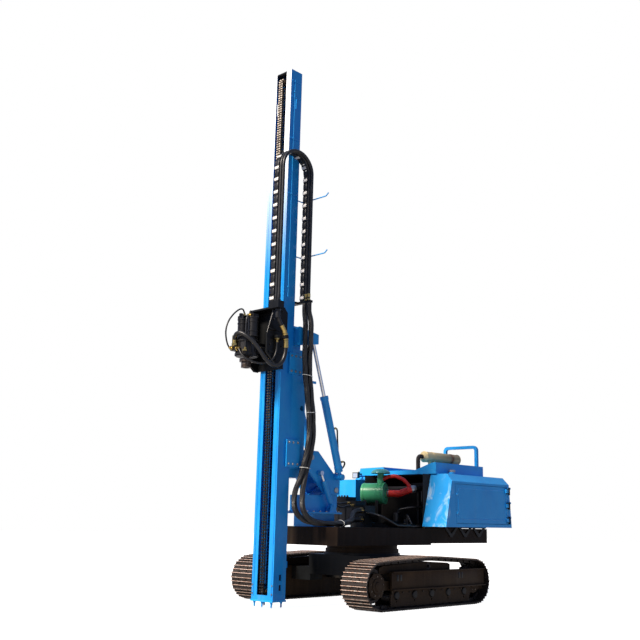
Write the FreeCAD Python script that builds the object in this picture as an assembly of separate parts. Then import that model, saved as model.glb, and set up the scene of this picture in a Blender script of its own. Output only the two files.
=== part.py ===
"""Micro pile drilling rig on crawler tracks: a slewing deck with engine housing and a tilting, sliding mast.

Millimetres. The origin is on the ground under the slew centre, +X points forward to the mast, +Y to the left
and +Z up. Each sub-part is written to parts/NODE.step.
"""

import FreeCAD, Part
import math
import os

V = FreeCAD.Vector
X_AXIS = V(1, 0, 0)
Y_AXIS = V(0, 1, 0)
Z_AXIS = V(0, 0, 1)

# ---------------------------------------------------------------- crawler tracks
GAUGE = 2203.0              # between the two track centre lines
SHOE_WIDTH = 450.0
SHOE_COUNT = 40
WHEEL_BASE = 2218.0         # idler centre to sprocket centre
PITCH_RADIUS = 274.0        # chain pitch line round idler and sprocket
SHOE_TOP = 30.0             # pitch line to the shoe's outer face
SHOE_SEAT = 10.0            # pitch line to the shoe's inner face
GROUSER = 16.0              # height of the three bars on a shoe
GROUSER_FOOT = 14.0
LINK_DEPTH = 42.0           # pitch line to the running face of the links
LINK_WIDTH = 170.0
CARRIER_X = -95.0
CARRIER_LIFT = 52.0         # the return run rises this much over the carrier roller
WHEEL_GAP = 0.259613        # between the links and the wheels in them
ROLLER_GAP = 0.9            # between the links and the bottom rollers
ROLLER_RADIUS = 66.0
ROLLER_COUNT = 5
ROLLER_PITCH = 390.0
ROLLER_CLEAR = 10.998787      # between the last roller and the sprocket
CARRIER_RADIUS = 48.0
DRIVE_RADIUS = 150.0
SPROCKET_CLEAR = 40.0
FRAME_TOP = 482.0
FRAME_RIDGE = 204.0
FRAME_FRONT = 800.0
FRAME_REAR = -1340.0
FRAME_OUT = 140.0           # half width of the track frame beam
GUARD_PLATE = 20.0
GUARD_BOTTOM = 112.0
GUARD_FOOT = 47.0
BEAM_CLEAR = 19.236323      # the beam stops this short of the sprocket

# ---------------------------------------------------------------- car body and slew ring
BODY_HALF_X = 520.0
BODY_HALF_Y = 600.0
BODY_BOTTOM = 380.0
BODY_TOP = 700.0
LEG_HALF = 130.0
LEG_X = 390.0
RING_RADIUS = 550.0
RING_BORE = 430.0
RING_SPLIT = 758.0          # mid height of the gap between the ring's halves
RING_GAP = 0.5

# ---------------------------------------------------------------- deck
DECK_FRONT = 1290.0
DECK_REAR = -2470.0
DECK_HALF = 595.0
DECK_BOTTOM = 817.0
DECK_TOP = 1066.0
DECK_WALL = 16.0
DECK_CHAMFER = 98.0
DECK_STEP_X = -930.0        # the tail behind this is shallower
DECK_STEP = 24.0

# ---------------------------------------------------------------- engine housing
BOX_FRONT = -705.0
BOX_REAR = -2520.0
BOX_FRONT_LEAN = 190.0      # how far the front face leans back at the shoulder
BOX_REAR_LEAN = 22.0
BOX_INNER = 600.0
BOX_OUTER = 1049.0
BOX_FLOOR = 1092.0
BOX_SHOULDER = 1778.0
BOX_SHOULDER_Y = 1026.0
BOX_ROOF = 1893.0
BOX_ROOF_Y = 911.0
BOX_WALL = 12.0
DOOR_FRONT = -985.0
DOOR_REAR = -2440.0
DOOR_BOTTOM = 1150.0
DOOR_TOP = 1735.0
DOOR_THICK = 25.0
DOOR_GAP = 6.0
HINGE_RADIUS = 12.0
HINGE_LENGTH = 60.0
TIER_TOP = 2068.0
TIER_OUT = 722.0
TIER_IN = 330.0
TIER_RIDGE = 652.0          # where the left tier's slope meets its top
RIGHT_TIER_TOP = 2022.0
TIER_REAR = -2200.0
SADDLE_FLOOR = 1958.0
CLEANER = (-450.0, -150.0, 1585.0)   # middle of the air cleaner's drum
CLEANER_RADIUS = 155.0
CLEANER_LID = 183.0         # from its middle to its lid's face
CLEANER_TURN = 24.0         # how far it stands askew, in degrees
RAIL_HALF = 25.0            # half the handrail's square section
NOSE_FRONT = -530.0         # the step box in front of the right box
NOSE_TOP = 1810.0
COWL_FRONT = -897.0
COWL_RIGHT_FOOT = 885.0
VALVE_FRONT = 230.0
COWL_RIGHT_TOP = 845.0

# ---------------------------------------------------------------- boom, cradle and mast
PIVOT_X, PIVOT_Z = 800.0, 1580.0        # boom foot pin
HEAD_X, HEAD_Z = 1320.0, 2020.0         # cradle pin in the boom head
LIFT_FOOT_X, LIFT_FOOT_Z = 940.0, 1350.0
LIFT_EYE_X, LIFT_EYE_Z = 1170.0, 1805.0
LIFT_Y = 235.0
TILT_FOOT_X, TILT_FOOT_Z = 800.0, 1765.0
TILT_EYE_X, TILT_EYE_Z = 1450.0, 3700.0
TILT_Y = 262.0
PIN_RADIUS = 25.0
LIFT_PIN = 18.0
SEAT_GAP = 0.3              # between pieces that lie or slide on each other
PIN_GAP = 2.0               # beside a pinned eye
LIFT_BARREL_START, LIFT_BARREL_END = 62.0, 375.0
LIFT_EYE_RADIUS = 34.0
LIFT_EYE_HALF = 22.0
LIFT_ROD = 19.0
TILT_BARREL_START, TILT_BARREL_END = 80.0, 1195.0
TILT_EYE_RADIUS = 46.0
TILT_EYE_HALF = 30.0
TILT_ROD = 27.0
PEDESTAL_HALF = 150.0
PEDESTAL_FLANGE_Z = 1245.0
PEDESTAL_FLANGE_HALF = 290.0
BOOM_PLATE = 30.0
BOOM_CLEAR = 6.0
BOOM_SIDE = PEDESTAL_HALF + BOOM_CLEAR  # inner face of the boom's side plates

MAST_BACK = 1780.0
MAST_DEPTH = 228.0
MAST_HALF = 209.5
MAST_BOTTOM = 113.0
MAST_TOP = 7820.0
MAST_WALL = 12.0
MAST_SLOT_HALF = 106.0
MAST_RUN_GAP = 8.0          # between the mast's back and the cradle
CRADLE_BACK = 1500.0
CRADLE_BOTTOM = 1840.0
CRADLE_TOP = 3520.0
CRADLE_HALF = 200.0
CRADLE_PLATE = 20.0
CLAMP_THICK = 25.0
CLAMP_LAP = 90.0
CLAMP_CLEAR = 5.0
FOOT_THICK = 23.0
SLIDE_X, SLIDE_Y = 1655.0, 0.0
SLIDE_STROKE = 800.0
SLIDE_BARREL_LOW = 1440.0
SLIDE_BARREL_RADIUS = 45.0
SLIDE_ROD_RADIUS = 25.0
SLIDE_BRACKET_TOP = SLIDE_BARREL_LOW - SLIDE_STROKE - 40.0
SPIKE_TIP = 42.0

CHAIN_X = 1925.0            # centre of the feed chain loop
CHAIN_Y = -30.0
CHAIN_RADIUS = 52.0
CHAIN_THICK = 26.0
CHAIN_STRAND = 27.0
CHAIN_GAP = 16.0
CHAIN_LOW_Z = 215.0
CHAIN_HIGH_Z = MAST_TOP - 130.0

# ---------------------------------------------------------------- carriage and drill head
CARRIAGE_BOTTOM = 3190.0
CARRIAGE_TOP = 4060.0
CARRIAGE_CLEAR = 23.5       # between the mast's sides and the carriage's cheeks
CARRIAGE_PLATE = 25.0
CARRIAGE_SIDE = MAST_HALF + CARRIAGE_CLEAR + CARRIAGE_PLATE
CARRIAGE_FRONT = 2150.0
SPINDLE_X = 2470.0
GEAR_RADIUS = 150.0
GEAR_BOTTOM = 3320.0
GEAR_TOP = 3560.0
MOTOR_RADIUS = 72.0
SHAFT_RADIUS = 40.0
SOCKET_BORE = 40.0
SOCKET_DEPTH = 75.0
MOTOR_TOP = 3860.0
MOTOR_Y = 105.0

# ---------------------------------------------------------------- hose loop beside the mast
HEAD_CLAMP_Z = 3600.0       # the carriage's clamp for the head hoses
PORT_FRONT = 2665.0         # the gearbox's hose ports
PORT_TOP = 3460.0
LOW_PORT_TOP = 3370.0
LOOP_MID_X = 1980.0
LOOP_RADIUS = 292.0
LOOP_CENTRE_Z = 6130.0
LOOP_Y0 = MAST_HALF + 26.5
LOOP_Y1 = LOOP_Y0 + 76.0
LOOP_THICK = 50.0
LOOP_HOSE = 44.0
LOOP_HOSE_YS = (LOOP_Y1 + 30.0, LOOP_Y1 + 82.0)
SLEEVE = 78.0               # sleeved hose bundles
THIN_HOSE = 24.0
CLAMP_Z = 3060.0            # the cradle's hose clamp
BULKHEAD_Z = 4200.0
BULKHEAD_HALF = 16.0
DROP_END_Z = 4100.0
FOLLOWER_HEIGHT = 60.0


# ================================================================ helpers
def box(x0, x1, y0, y1, z0, z1):
    """A block between two corners."""
    return Part.makeBox(x1 - x0, y1 - y0, z1 - z0, V(x0, y0, z0))


def rod(start, end, radius):
    """A round bar between two points."""
    a, b = V(*start), V(*end)
    return Part.makeCylinder(radius, (b - a).Length, a, b - a)


def tube(start, end, radius, bore):
    """A round bar with a round hole through it."""
    a, b = V(*start), V(*end)
    along = b - a
    along.normalize()
    hole = Part.makeCylinder(bore, (b - a).Length + 2, a - along, b - a)
    return Part.makeCylinder(radius, (b - a).Length, a, b - a).cut(hole)


def prism(points, direction):
    """A flat outline of 3-D points carried along a vector."""
    wire = Part.makePolygon([V(*p) for p in points] + [V(*points[0])])
    return Part.Face(wire).extrude(V(*direction))


def plate_xz(points, y0, y1):
    """An outline in X and Z, from y0 to y1."""
    return prism([(x, y0, z) for x, z in points], (0, y1 - y0, 0))


def plate_yz(points, x0, x1):
    """An outline in Y and Z, from x0 to x1."""
    return prism([(x0, y, z) for y, z in points], (x1 - x0, 0, 0))


def plate_xy(points, z0, z1):
    """An outline in X and Y, from z0 to z1."""
    return prism([(x, y, z0) for x, y in points], (0, 0, z1 - z0))


def join(*shapes):
    """One body from shapes that touch or overlap."""
    return shapes[0].fuse(list(shapes[1:])).removeSplitter()


def mirrored(shape):
    """The same piece on the other side of the machine."""
    return shape.mirror(V(0, 0, 0), Y_AXIS)


def both(shape):
    """A piece and its mirror image, as solids that don't touch."""
    return Part.makeCompound([shape, mirrored(shape)])


def save(node, *shapes):
    """Write a node's solids to its file."""
    solids = [solid for shape in shapes for solid in shape.Solids]
    shape = solids[0] if len(solids) == 1 else Part.makeCompound(solids)
    shape.exportStep("parts/" + node + ".step")


def along(x0, z0, x1, z1):
    """Unit vector and length of a line in the XZ plane."""
    length = math.hypot(x1 - x0, z1 - z0)
    return (x1 - x0) / length, (z1 - z0) / length, length


# ================================================================ tracks
WHEEL_X = WHEEL_BASE / 2
WHEEL_Z = PITCH_RADIUS + SHOE_TOP + GROUSER
TRACK_Y = GAUGE / 2


def pitch_path():
    """The chain's closed pitch line as straight and round stretches, clockwise from under the idler."""
    top = WHEEL_Z + PITCH_RADIUS
    rise_front = math.atan2(CARRIER_LIFT, WHEEL_X - CARRIER_X)
    rise_rear = math.atan2(CARRIER_LIFT, WHEEL_X + CARRIER_X)
    stretches = []
    peak = (CARRIER_X, top + CARRIER_LIFT)
    off_sprocket = (-WHEEL_X - PITCH_RADIUS * math.sin(rise_rear), WHEEL_Z + PITCH_RADIUS * math.cos(rise_rear))
    off_idler = (WHEEL_X + PITCH_RADIUS * math.sin(rise_front), WHEEL_Z + PITCH_RADIUS * math.cos(rise_front))
    low = WHEEL_Z - PITCH_RADIUS
    stretches.append(("line", (WHEEL_X, low), (-WHEEL_X, low)))
    stretches.append(("arc", (-WHEEL_X, WHEEL_Z), -90.0, -270.0 + math.degrees(rise_rear)))
    stretches.append(("line", off_sprocket, peak))
    stretches.append(("line", peak, off_idler))
    stretches.append(("arc", (WHEEL_X, WHEEL_Z), 90.0 - math.degrees(rise_front), -90.0))
    return stretches


def stretch_length(stretch):
    if stretch[0] == "line":
        return math.dist(stretch[1], stretch[2])
    return PITCH_RADIUS * math.radians(abs(stretch[3] - stretch[2]))


def path_point(stretches, distance):
    """The point at a distance along the pitch line."""
    for stretch in stretches:
        length = stretch_length(stretch)
        if distance <= length:
            share = distance / length
            if stretch[0] == "line":
                (x0, z0), (x1, z1) = stretch[1], stretch[2]
                return x0 + share * (x1 - x0), z0 + share * (z1 - z0)
            angle = math.radians(stretch[2] + share * (stretch[3] - stretch[2]))
            centre = stretch[1]
            return centre[0] + PITCH_RADIUS * math.cos(angle), centre[1] + PITCH_RADIUS * math.sin(angle)
        distance -= length
    return path_point(stretches, 0.0)


def track_pins():
    """Pin positions round the loop, one for each shoe."""
    stretches = pitch_path()
    total = sum(stretch_length(s) for s in stretches)
    return [path_point(stretches, total * i / SHOE_COUNT) for i in range(SHOE_COUNT)]


def loop_outline(pins, profile):
    """Outline round the loop: profile gives (share of pitch, height above the pitch line) for each shoe."""
    outline = []
    for i, (x0, z0) in enumerate(pins):
        x1, z1 = pins[(i + 1) % len(pins)]
        ux, uz, length = along(x0, z0, x1, z1)
        nx, nz = -uz, ux
        for share, height in profile:
            outline.append((x0 + ux * share * length + nx * height, z0 + uz * share * length + nz * height))
    return outline


def band(outer, inner, y0, y1):
    """A closed band between two outlines in X and Z."""
    return plate_xz(outer, y0, y1).cut(plate_xz(inner, y0 - 1, y1 + 1))


def build_track():
    """One closed track: 40 three-bar shoes on a link chain, as one loop."""
    pins = track_pins()
    pitch = math.dist(pins[0], pins[1])
    bar = GROUSER_FOOT / pitch
    shoe = [(0.03, SHOE_SEAT), (0.03, SHOE_TOP)]
    for centre in (0.14, 0.5, 0.86):
        shoe += [
            (centre - bar / 2, SHOE_TOP), (centre - bar / 4, SHOE_TOP + GROUSER),
            (centre + bar / 4, SHOE_TOP + GROUSER), (centre + bar / 2, SHOE_TOP),
        ]
    shoe += [(0.97, SHOE_TOP), (0.97, SHOE_SEAT)]
    half = SHOE_WIDTH / 2
    shoes = band(
        loop_outline(pins, shoe), loop_outline(pins, [(0.0, SHOE_SEAT - 4)]),
        TRACK_Y - half, TRACK_Y + half,
    )
    links = band(
        loop_outline(pins, [(0.0, SHOE_SEAT - 2)]), loop_outline(pins, [(0.0, -LINK_DEPTH)]),
        TRACK_Y - LINK_WIDTH / 2, TRACK_Y + LINK_WIDTH / 2,
    )
    return join(shoes, links)


def link_room():
    """Least distance from a wheel's centre to the inner face of the links round it."""
    inner = loop_outline(track_pins(), [(0.0, -LINK_DEPTH)])
    room = PITCH_RADIUS
    for (ax, az), (bx, bz) in zip(inner, inner[1:] + inner[:1]):
        for x in (-WHEEL_X, WHEEL_X):
            share = ((x - ax) * (bx - ax) + (WHEEL_Z - az) * (bz - az)) / ((bx - ax) ** 2 + (bz - az) ** 2)
            share = max(0.0, min(1.0, share))
            room = min(room, math.hypot(ax + share * (bx - ax) - x, az + share * (bz - az) - WHEEL_Z))
    return room


TREAD_RADIUS = link_room() - WHEEL_GAP
ROLLER_Z = WHEEL_Z - PITCH_RADIUS + LINK_DEPTH + ROLLER_GAP + ROLLER_RADIUS
ROLLER_REAR = -WHEEL_X + math.sqrt((TREAD_RADIUS + ROLLER_RADIUS + ROLLER_CLEAR) ** 2 - (WHEEL_Z - ROLLER_Z) ** 2)
ROLLER_XS = [ROLLER_REAR + ROLLER_PITCH * i for i in reversed(range(ROLLER_COUNT))]
BEAM_REAR = -WHEEL_X + TREAD_RADIUS + BEAM_CLEAR
CARRIER_Z = WHEEL_Z + PITCH_RADIUS + CARRIER_LIFT - LINK_DEPTH - 8.0 - CARRIER_RADIUS
AXLE_HALF = FRAME_OUT - GUARD_PLATE
YOKE_INNER = 82.0
YOKE_THICK = 28.0


def build_idler():
    """Front idler: a rim with a hub, on its axle."""
    y = TRACK_Y
    rim = rod((WHEEL_X, y - 55, WHEEL_Z), (WHEEL_X, y + 55, WHEEL_Z), TREAD_RADIUS)
    for side in (-1, 1):
        dish = rod((WHEEL_X, y + side * 30, WHEEL_Z), (WHEEL_X, y + side * 56, WHEEL_Z), TREAD_RADIUS - 40)
        rim = rim.cut(dish)
    hub = rod((WHEEL_X, y - 70, WHEEL_Z), (WHEEL_X, y + 70, WHEEL_Z), 80)
    axle = rod((WHEEL_X, y - YOKE_INNER, WHEEL_Z), (WHEEL_X, y + YOKE_INNER, WHEEL_Z), 40)
    return join(rim, hub, axle)


def build_sprocket():
    """Rear drive sprocket: a toothed rim on the round final drive."""
    teeth = 21
    outline = []
    for i in range(teeth):
        for share, radius in ((0.0, TREAD_RADIUS - 26), (0.3, TREAD_RADIUS), (0.7, TREAD_RADIUS)):
            angle = 2 * math.pi * (i + share) / teeth
            outline.append((-WHEEL_X + radius * math.cos(angle), WHEEL_Z + radius * math.sin(angle)))
    rim = plate_xz(outline, TRACK_Y - 28, TRACK_Y + 28)
    drive = rod((-WHEEL_X, TRACK_Y - 180, WHEEL_Z), (-WHEEL_X, TRACK_Y + 95, WHEEL_Z), DRIVE_RADIUS)
    return join(rim, drive)


def build_bottom_roller(x):
    """A flanged bottom roller with its axle."""
    y = TRACK_Y
    tread = rod((x, y - 75, ROLLER_Z), (x, y + 75, ROLLER_Z), ROLLER_RADIUS)
    axle = rod((x, y - AXLE_HALF, ROLLER_Z), (x, y + AXLE_HALF, ROLLER_Z), 24)
    return join(tread, axle)


def build_carrier_roller():
    """The carrier roller under the return run, on its bracket."""
    y = TRACK_Y
    roller = rod((CARRIER_X, y - 70, CARRIER_Z), (CARRIER_X, y + 70, CARRIER_Z), CARRIER_RADIUS)
    axle = rod((CARRIER_X, y - 110, CARRIER_Z), (CARRIER_X, y + 100, CARRIER_Z), 20)
    bracket = box(CARRIER_X - 45, CARRIER_X + 45, y - 110, y - 82, FRAME_TOP, CARRIER_Z + 30)
    return join(roller, axle, bracket)


def build_track_frame():
    """Side frame: a beam over the rollers, guard plates beside them, an idler yoke and a motor guard."""
    y0, y1 = TRACK_Y - FRAME_OUT, TRACK_Y + FRAME_OUT
    section = [
        (y0, FRAME_RIDGE + 46), (y0, FRAME_TOP), (y1 - 40, FRAME_TOP), (y1, FRAME_TOP - 30),
        (y1, FRAME_RIDGE + 46),
    ]
    beam = plate_yz(section, BEAM_REAR, FRAME_FRONT)
    outline = [
        (FRAME_FRONT, FRAME_RIDGE), (FRAME_FRONT, FRAME_RIDGE + 60), (FRAME_REAR, FRAME_RIDGE + 60),
        (FRAME_REAR, FRAME_RIDGE), (-1040, FRAME_RIDGE), (-980, GUARD_FOOT), (FRAME_FRONT + 20, GUARD_FOOT),
        (FRAME_FRONT + 20, FRAME_RIDGE),
    ]
    shapes = [beam]
    for inner, outer in ((y0, y0 + GUARD_PLATE), (y1 - GUARD_PLATE, y1)):
        guard = plate_xz(outline, inner, outer)
        if inner < TRACK_Y:
            guard = guard.cut(box(FRAME_REAR - 1, BEAM_REAR, inner - 1, outer + 1, 0, FRAME_TOP))
        for x in ROLLER_XS:
            notch = [(x - 46, FRAME_RIDGE - 12), (x + 46, FRAME_RIDGE - 12), (x, GUARD_BOTTOM - 26)]
            if inner > TRACK_Y:
                guard = guard.cut(plate_xz(notch, inner - 1, outer + 1).cut(
                    rod((x, inner - 2, ROLLER_Z), (x, outer + 2, ROLLER_Z), 34)))
        shapes.append(guard)
    rear_plate = box(FRAME_REAR, BEAM_REAR + 5, y1 - GUARD_PLATE, y1, FRAME_RIDGE, FRAME_TOP - 30)
    shapes.append(rear_plate)
    for side in (-1, 1):
        near, far = sorted((TRACK_Y + side * YOKE_INNER, TRACK_Y + side * (YOKE_INNER + YOKE_THICK)))
        shapes.append(box(FRAME_FRONT - 20, WHEEL_X + 60, near, far, WHEEL_Z - 60, WHEEL_Z + 60))
    body = join(*shapes)
    for x in (700.0, 640.0, -590.0, -650.0):
        body = body.cut(box(x - 16, x + 16, y1 - 30, y1 + 1, 345, 425))
    drive_arm = box(-WHEEL_X, BEAM_REAR + 20, y0, TRACK_Y - SPROCKET_CLEAR, WHEEL_Z - 60, WHEEL_Z + 110)
    body = join(body, drive_arm)
    return body.cut(rod((-WHEEL_X, TRACK_Y - 300, WHEEL_Z), (-WHEEL_X, TRACK_Y + 100, WHEEL_Z), DRIVE_RADIUS + SEAT_GAP))


def build_car_body():
    """Centre frame between the tracks, with a leg to each corner."""
    body = box(-BODY_HALF_X, BODY_HALF_X, -BODY_HALF_Y, BODY_HALF_Y, BODY_BOTTOM, BODY_TOP - 30)
    hollow = box(-BODY_HALF_X + 25, BODY_HALF_X - 25, -BODY_HALF_Y + 25, BODY_HALF_Y - 25,
                 BODY_BOTTOM - 1, BODY_TOP - 60)
    body = body.cut(hollow)
    plate = rod((0, 0, BODY_TOP - 30), (0, 0, BODY_TOP), RING_RADIUS + 20)
    reach = TRACK_Y - FRAME_OUT
    legs = []
    for sx in (-1, 1):
        for sy in (-1, 1):
            y_low, y_high = sorted((sy * (BODY_HALF_Y - 30), sy * reach))
            legs.append(box(sx * LEG_X - LEG_HALF, sx * LEG_X + LEG_HALF, y_low, y_high, BODY_BOTTOM - 90,
                            BODY_BOTTOM + 100))
    joined = join(body, plate, *legs)
    return joined.cut(rod((0, 0, BODY_TOP - 80), (0, 0, BODY_TOP + 1), RING_BORE - 160))


def build_slew_ring():
    """The two halves of the slew bearing."""
    lower = tube((0, 0, BODY_TOP), (0, 0, RING_SPLIT - RING_GAP / 2), RING_RADIUS, RING_BORE)
    upper = tube((0, 0, RING_SPLIT + RING_GAP / 2), (0, 0, DECK_BOTTOM), RING_RADIUS - 20, RING_BORE)
    return lower, upper


# ================================================================ deck
def deck_outline(inset, front, rear):
    """Deck plan with chamfered front corners, inset all round."""
    half = DECK_HALF - inset
    cut = DECK_CHAMFER - inset * 0.4
    return [
        (rear, -half), (front - cut, -half), (front, -half + cut), (front, half - cut),
        (front - cut, half), (rear, half),
    ]


def build_deck():
    """Welded deck: a top plate on closed side walls, two rails and cross members under it."""
    outer = plate_xy(deck_outline(0, DECK_FRONT, DECK_REAR), DECK_BOTTOM, DECK_TOP)
    inner = plate_xy(
        deck_outline(DECK_WALL, DECK_FRONT - DECK_WALL, DECK_REAR + DECK_WALL),
        DECK_BOTTOM - 1, DECK_TOP - DECK_WALL,
    )
    shell = outer.cut(inner)
    members = []
    for y in (-320.0, 320.0):
        members.append(box(DECK_REAR + 5, DECK_FRONT - 5, y - 12, y + 12, DECK_BOTTOM, DECK_TOP - 5))
    for x in (820.0, 0.0, -900.0, -1600.0):
        members.append(box(x - 10, x + 10, -DECK_HALF + 5, DECK_HALF - 5, DECK_BOTTOM, DECK_TOP - 5))
    floor = box(-720, 720, -DECK_HALF + 5, DECK_HALF - 5, DECK_BOTTOM, DECK_BOTTOM + 18)
    deck = join(shell, floor, *members)
    step = box(DECK_REAR - 1, DECK_STEP_X, -DECK_HALF - 1, DECK_HALF + 1, DECK_BOTTOM - 1, DECK_BOTTOM + DECK_STEP)
    swivel_hole = rod((0, 0, DECK_BOTTOM - 1), (0, 0, DECK_BOTTOM + 30), 200)
    return deck.cut(step).cut(swivel_hole)


def build_box_brackets():
    """V-shaped flat-bar brackets between the deck's side and the overhanging boxes."""
    shapes = []
    top, low = BOX_FLOOR, DECK_TOP - 130.0
    y0, y1 = DECK_HALF, DECK_HALF + 16.0
    span, bar = 380.0, 52.0
    for i in range(3):
        start = DECK_REAR + 60 + i * (span + 6)
        mid = start + span / 2
        vee = [
            (start, top), (start + bar, top), (mid, low + bar), (start + span - bar, top),
            (start + span, top), (mid + bar / 2, low), (mid - bar / 2, low),
        ]
        shapes.append(both(plate_xz(vee, y0, y1)))
    return Part.makeCompound([s for shape in shapes for s in shape.Solids])


# ================================================================ engine housing
def box_section(inset):
    """Side box section in Y and Z, inset all round."""
    return [
        (BOX_INNER + inset, BOX_FLOOR + inset),
        (BOX_OUTER - inset, BOX_FLOOR + inset),
        (BOX_SHOULDER_Y - inset, BOX_SHOULDER),
        (BOX_ROOF_Y - inset * 0.6, BOX_ROOF - inset),
        (BOX_INNER + inset, BOX_ROOF - inset),
    ]


def lean_cutters(inset):
    """Blocks that trim the box ends to their leaning faces."""
    rise = BOX_SHOULDER - BOX_FLOOR
    top = BOX_ROOF + 50
    lean_top = BOX_FRONT_LEAN * (top - BOX_FLOOR) / rise
    rear_top = BOX_REAR_LEAN * (top - BOX_FLOOR) / rise
    front = plate_xz(
        [(BOX_FRONT - inset, BOX_FLOOR - 1), (BOX_FRONT + 60, BOX_FLOOR - 1), (BOX_FRONT + 60, top),
         (BOX_FRONT - inset - lean_top, top)], 0, 1200)
    rear = plate_xz(
        [(BOX_REAR + inset, BOX_FLOOR - 1), (BOX_REAR - 60, BOX_FLOOR - 1), (BOX_REAR - 60, top),
         (BOX_REAR + inset + rear_top, top)], 0, 1200)
    return front, rear


def leaning_box(inset):
    """The side box as a solid, inset all round."""
    solid = plate_yz(box_section(inset), BOX_REAR + inset, BOX_FRONT - inset)
    for cutter in lean_cutters(inset):
        solid = solid.cut(cutter)
    return solid


def door_block(grow):
    """The door's place in the box's side, grown by a gap."""
    return box(DOOR_REAR - grow, DOOR_FRONT + grow, BOX_SHOULDER_Y - 60, BOX_OUTER + 40,
               DOOR_BOTTOM - grow, DOOR_TOP + grow)


def build_side_box():
    """Left side box: a hollow case with its door opening and the fixed halves of the hinges."""
    shell = leaning_box(0).cut(leaning_box(BOX_WALL)).cut(door_block(DOOR_GAP))
    x, y = hinge_line()
    leaves = []
    for z in hinge_zs():
        low = z + HINGE_LENGTH / 2 + SEAT_GAP
        leaves.append(rod((x, y, low), (x, y, low + HINGE_LENGTH / 2), HINGE_RADIUS))
        leaves.append(box(x - 50, x, BOX_SHOULDER_Y - 4, y, low, low + HINGE_LENGTH / 2))
    return join(shell, *leaves)


def hinge_line():
    """X and Y of the door's hinge line, outside the skin."""
    return DOOR_REAR - DOOR_GAP / 2, BOX_OUTER + HINGE_RADIUS + 2


def hinge_zs():
    """Heights of the three hinges."""
    reach = (DOOR_TOP - DOOR_BOTTOM) / 2 - 60
    middle = (DOOR_TOP + DOOR_BOTTOM) / 2
    return [middle - reach, middle, middle + reach]


def build_side_door():
    """Left side door: a flush panel with three hinge knuckles."""
    skin = leaning_box(0).cut(leaning_box(DOOR_THICK))
    panel = skin.common(door_block(0))
    x, y = hinge_line()
    knuckles = []
    for z in hinge_zs():
        knuckles.append(rod((x, y, z - HINGE_LENGTH / 2), (x, y, z + HINGE_LENGTH / 2), HINGE_RADIUS))
        knuckles.append(box(x, DOOR_REAR + 70, BOX_SHOULDER_Y - 6, y, z - HINGE_LENGTH / 2, z + HINGE_LENGTH / 2))
    return join(panel, *knuckles)


def build_nose_box():
    """Step box on the front of the right side box, with a chamfered shoulder."""
    step = plate_yz(
        [(-BOX_OUTER + 2, BOX_FLOOR + 8), (-BOX_INNER - 20, BOX_FLOOR + 8), (-BOX_INNER - 20, NOSE_TOP),
         (-BOX_SHOULDER_Y + 40, NOSE_TOP), (-BOX_SHOULDER_Y + 2, BOX_SHOULDER)],
        BOX_FRONT - BOX_FRONT_LEAN - 40, NOSE_FRONT)
    return step.cut(mirrored(leaning_box(-SEAT_GAP)))


def build_cowl():
    """Roof over the engine bay: front saddle panel, a sloped tier on the left and a flat one on the right."""
    front_panel = plate_yz(
        [(-COWL_RIGHT_FOOT, BOX_ROOF), (TIER_OUT, BOX_ROOF), (TIER_OUT, TIER_TOP), (TIER_RIDGE, TIER_TOP),
         (TIER_IN - 20, SADDLE_FLOOR), (-TIER_IN + 20, SADDLE_FLOOR), (-TIER_IN - 30, RIGHT_TIER_TOP),
         (-COWL_RIGHT_TOP, RIGHT_TIER_TOP - 10)], COWL_FRONT - 14, COWL_FRONT)
    left_tier = plate_yz(
        [(TIER_IN + 30, BOX_ROOF), (TIER_OUT, BOX_ROOF), (TIER_OUT, TIER_TOP), (TIER_RIDGE, TIER_TOP),
         (TIER_IN + 30, SADDLE_FLOOR + 16)], TIER_REAR, COWL_FRONT - 14)
    left_tier = left_tier.cut(plate_yz(
        [(TIER_IN + 44, BOX_ROOF - 1), (TIER_OUT - 14, BOX_ROOF - 1), (TIER_OUT - 14, TIER_TOP - 14),
         (TIER_RIDGE + 4, TIER_TOP - 14), (TIER_IN + 44, SADDLE_FLOOR + 6)], TIER_REAR + 14, COWL_FRONT - 14))
    right_tier = plate_yz(
        [(-COWL_RIGHT_FOOT, BOX_ROOF), (-TIER_IN - 30, BOX_ROOF), (-TIER_IN - 30, RIGHT_TIER_TOP),
         (-COWL_RIGHT_TOP, RIGHT_TIER_TOP - 10)], TIER_REAR, COWL_FRONT - 14)
    hollow = plate_yz(
        [(-COWL_RIGHT_FOOT + 16, BOX_ROOF - 1), (-TIER_IN - 44, BOX_ROOF - 1), (-TIER_IN - 44, RIGHT_TIER_TOP - 14),
         (-COWL_RIGHT_TOP + 10, RIGHT_TIER_TOP - 24)], TIER_REAR + 14, COWL_FRONT - 14)
    right_tier = right_tier.cut(hollow)
    bed = box(BOX_REAR + 40, COWL_FRONT - 14, -TIER_IN - 34, TIER_IN + 34, BOX_ROOF, BOX_ROOF + 14)
    rear_roof = box(BOX_REAR + 40, TIER_REAR, -BOX_INNER - 40, BOX_INNER + 40, BOX_ROOF, BOX_ROOF + 14)
    return join(front_panel, left_tier, right_tier, bed, rear_roof)


def rear_hinge_line():
    """X and Y of the rear door's hinge line."""
    return BOX_REAR - HINGE_RADIUS - 2, -BOX_INNER + 8


def build_rear_leaves():
    """Fixed halves of the rear door's hinges, on the right box."""
    x, y = rear_hinge_line()
    leaves = []
    for z in hinge_zs():
        low = z + HINGE_LENGTH / 2 + SEAT_GAP
        high = low + HINGE_LENGTH / 2
        leaves.append(rod((x, y, low), (x, y, high), HINGE_RADIUS))
        leaves.append(box(x, BOX_REAR + 30, y - 68, -BOX_INNER, low, high))
        leaves.append(box(x, x + 8, y - 68, y, low, high))
    return leaves


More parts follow.
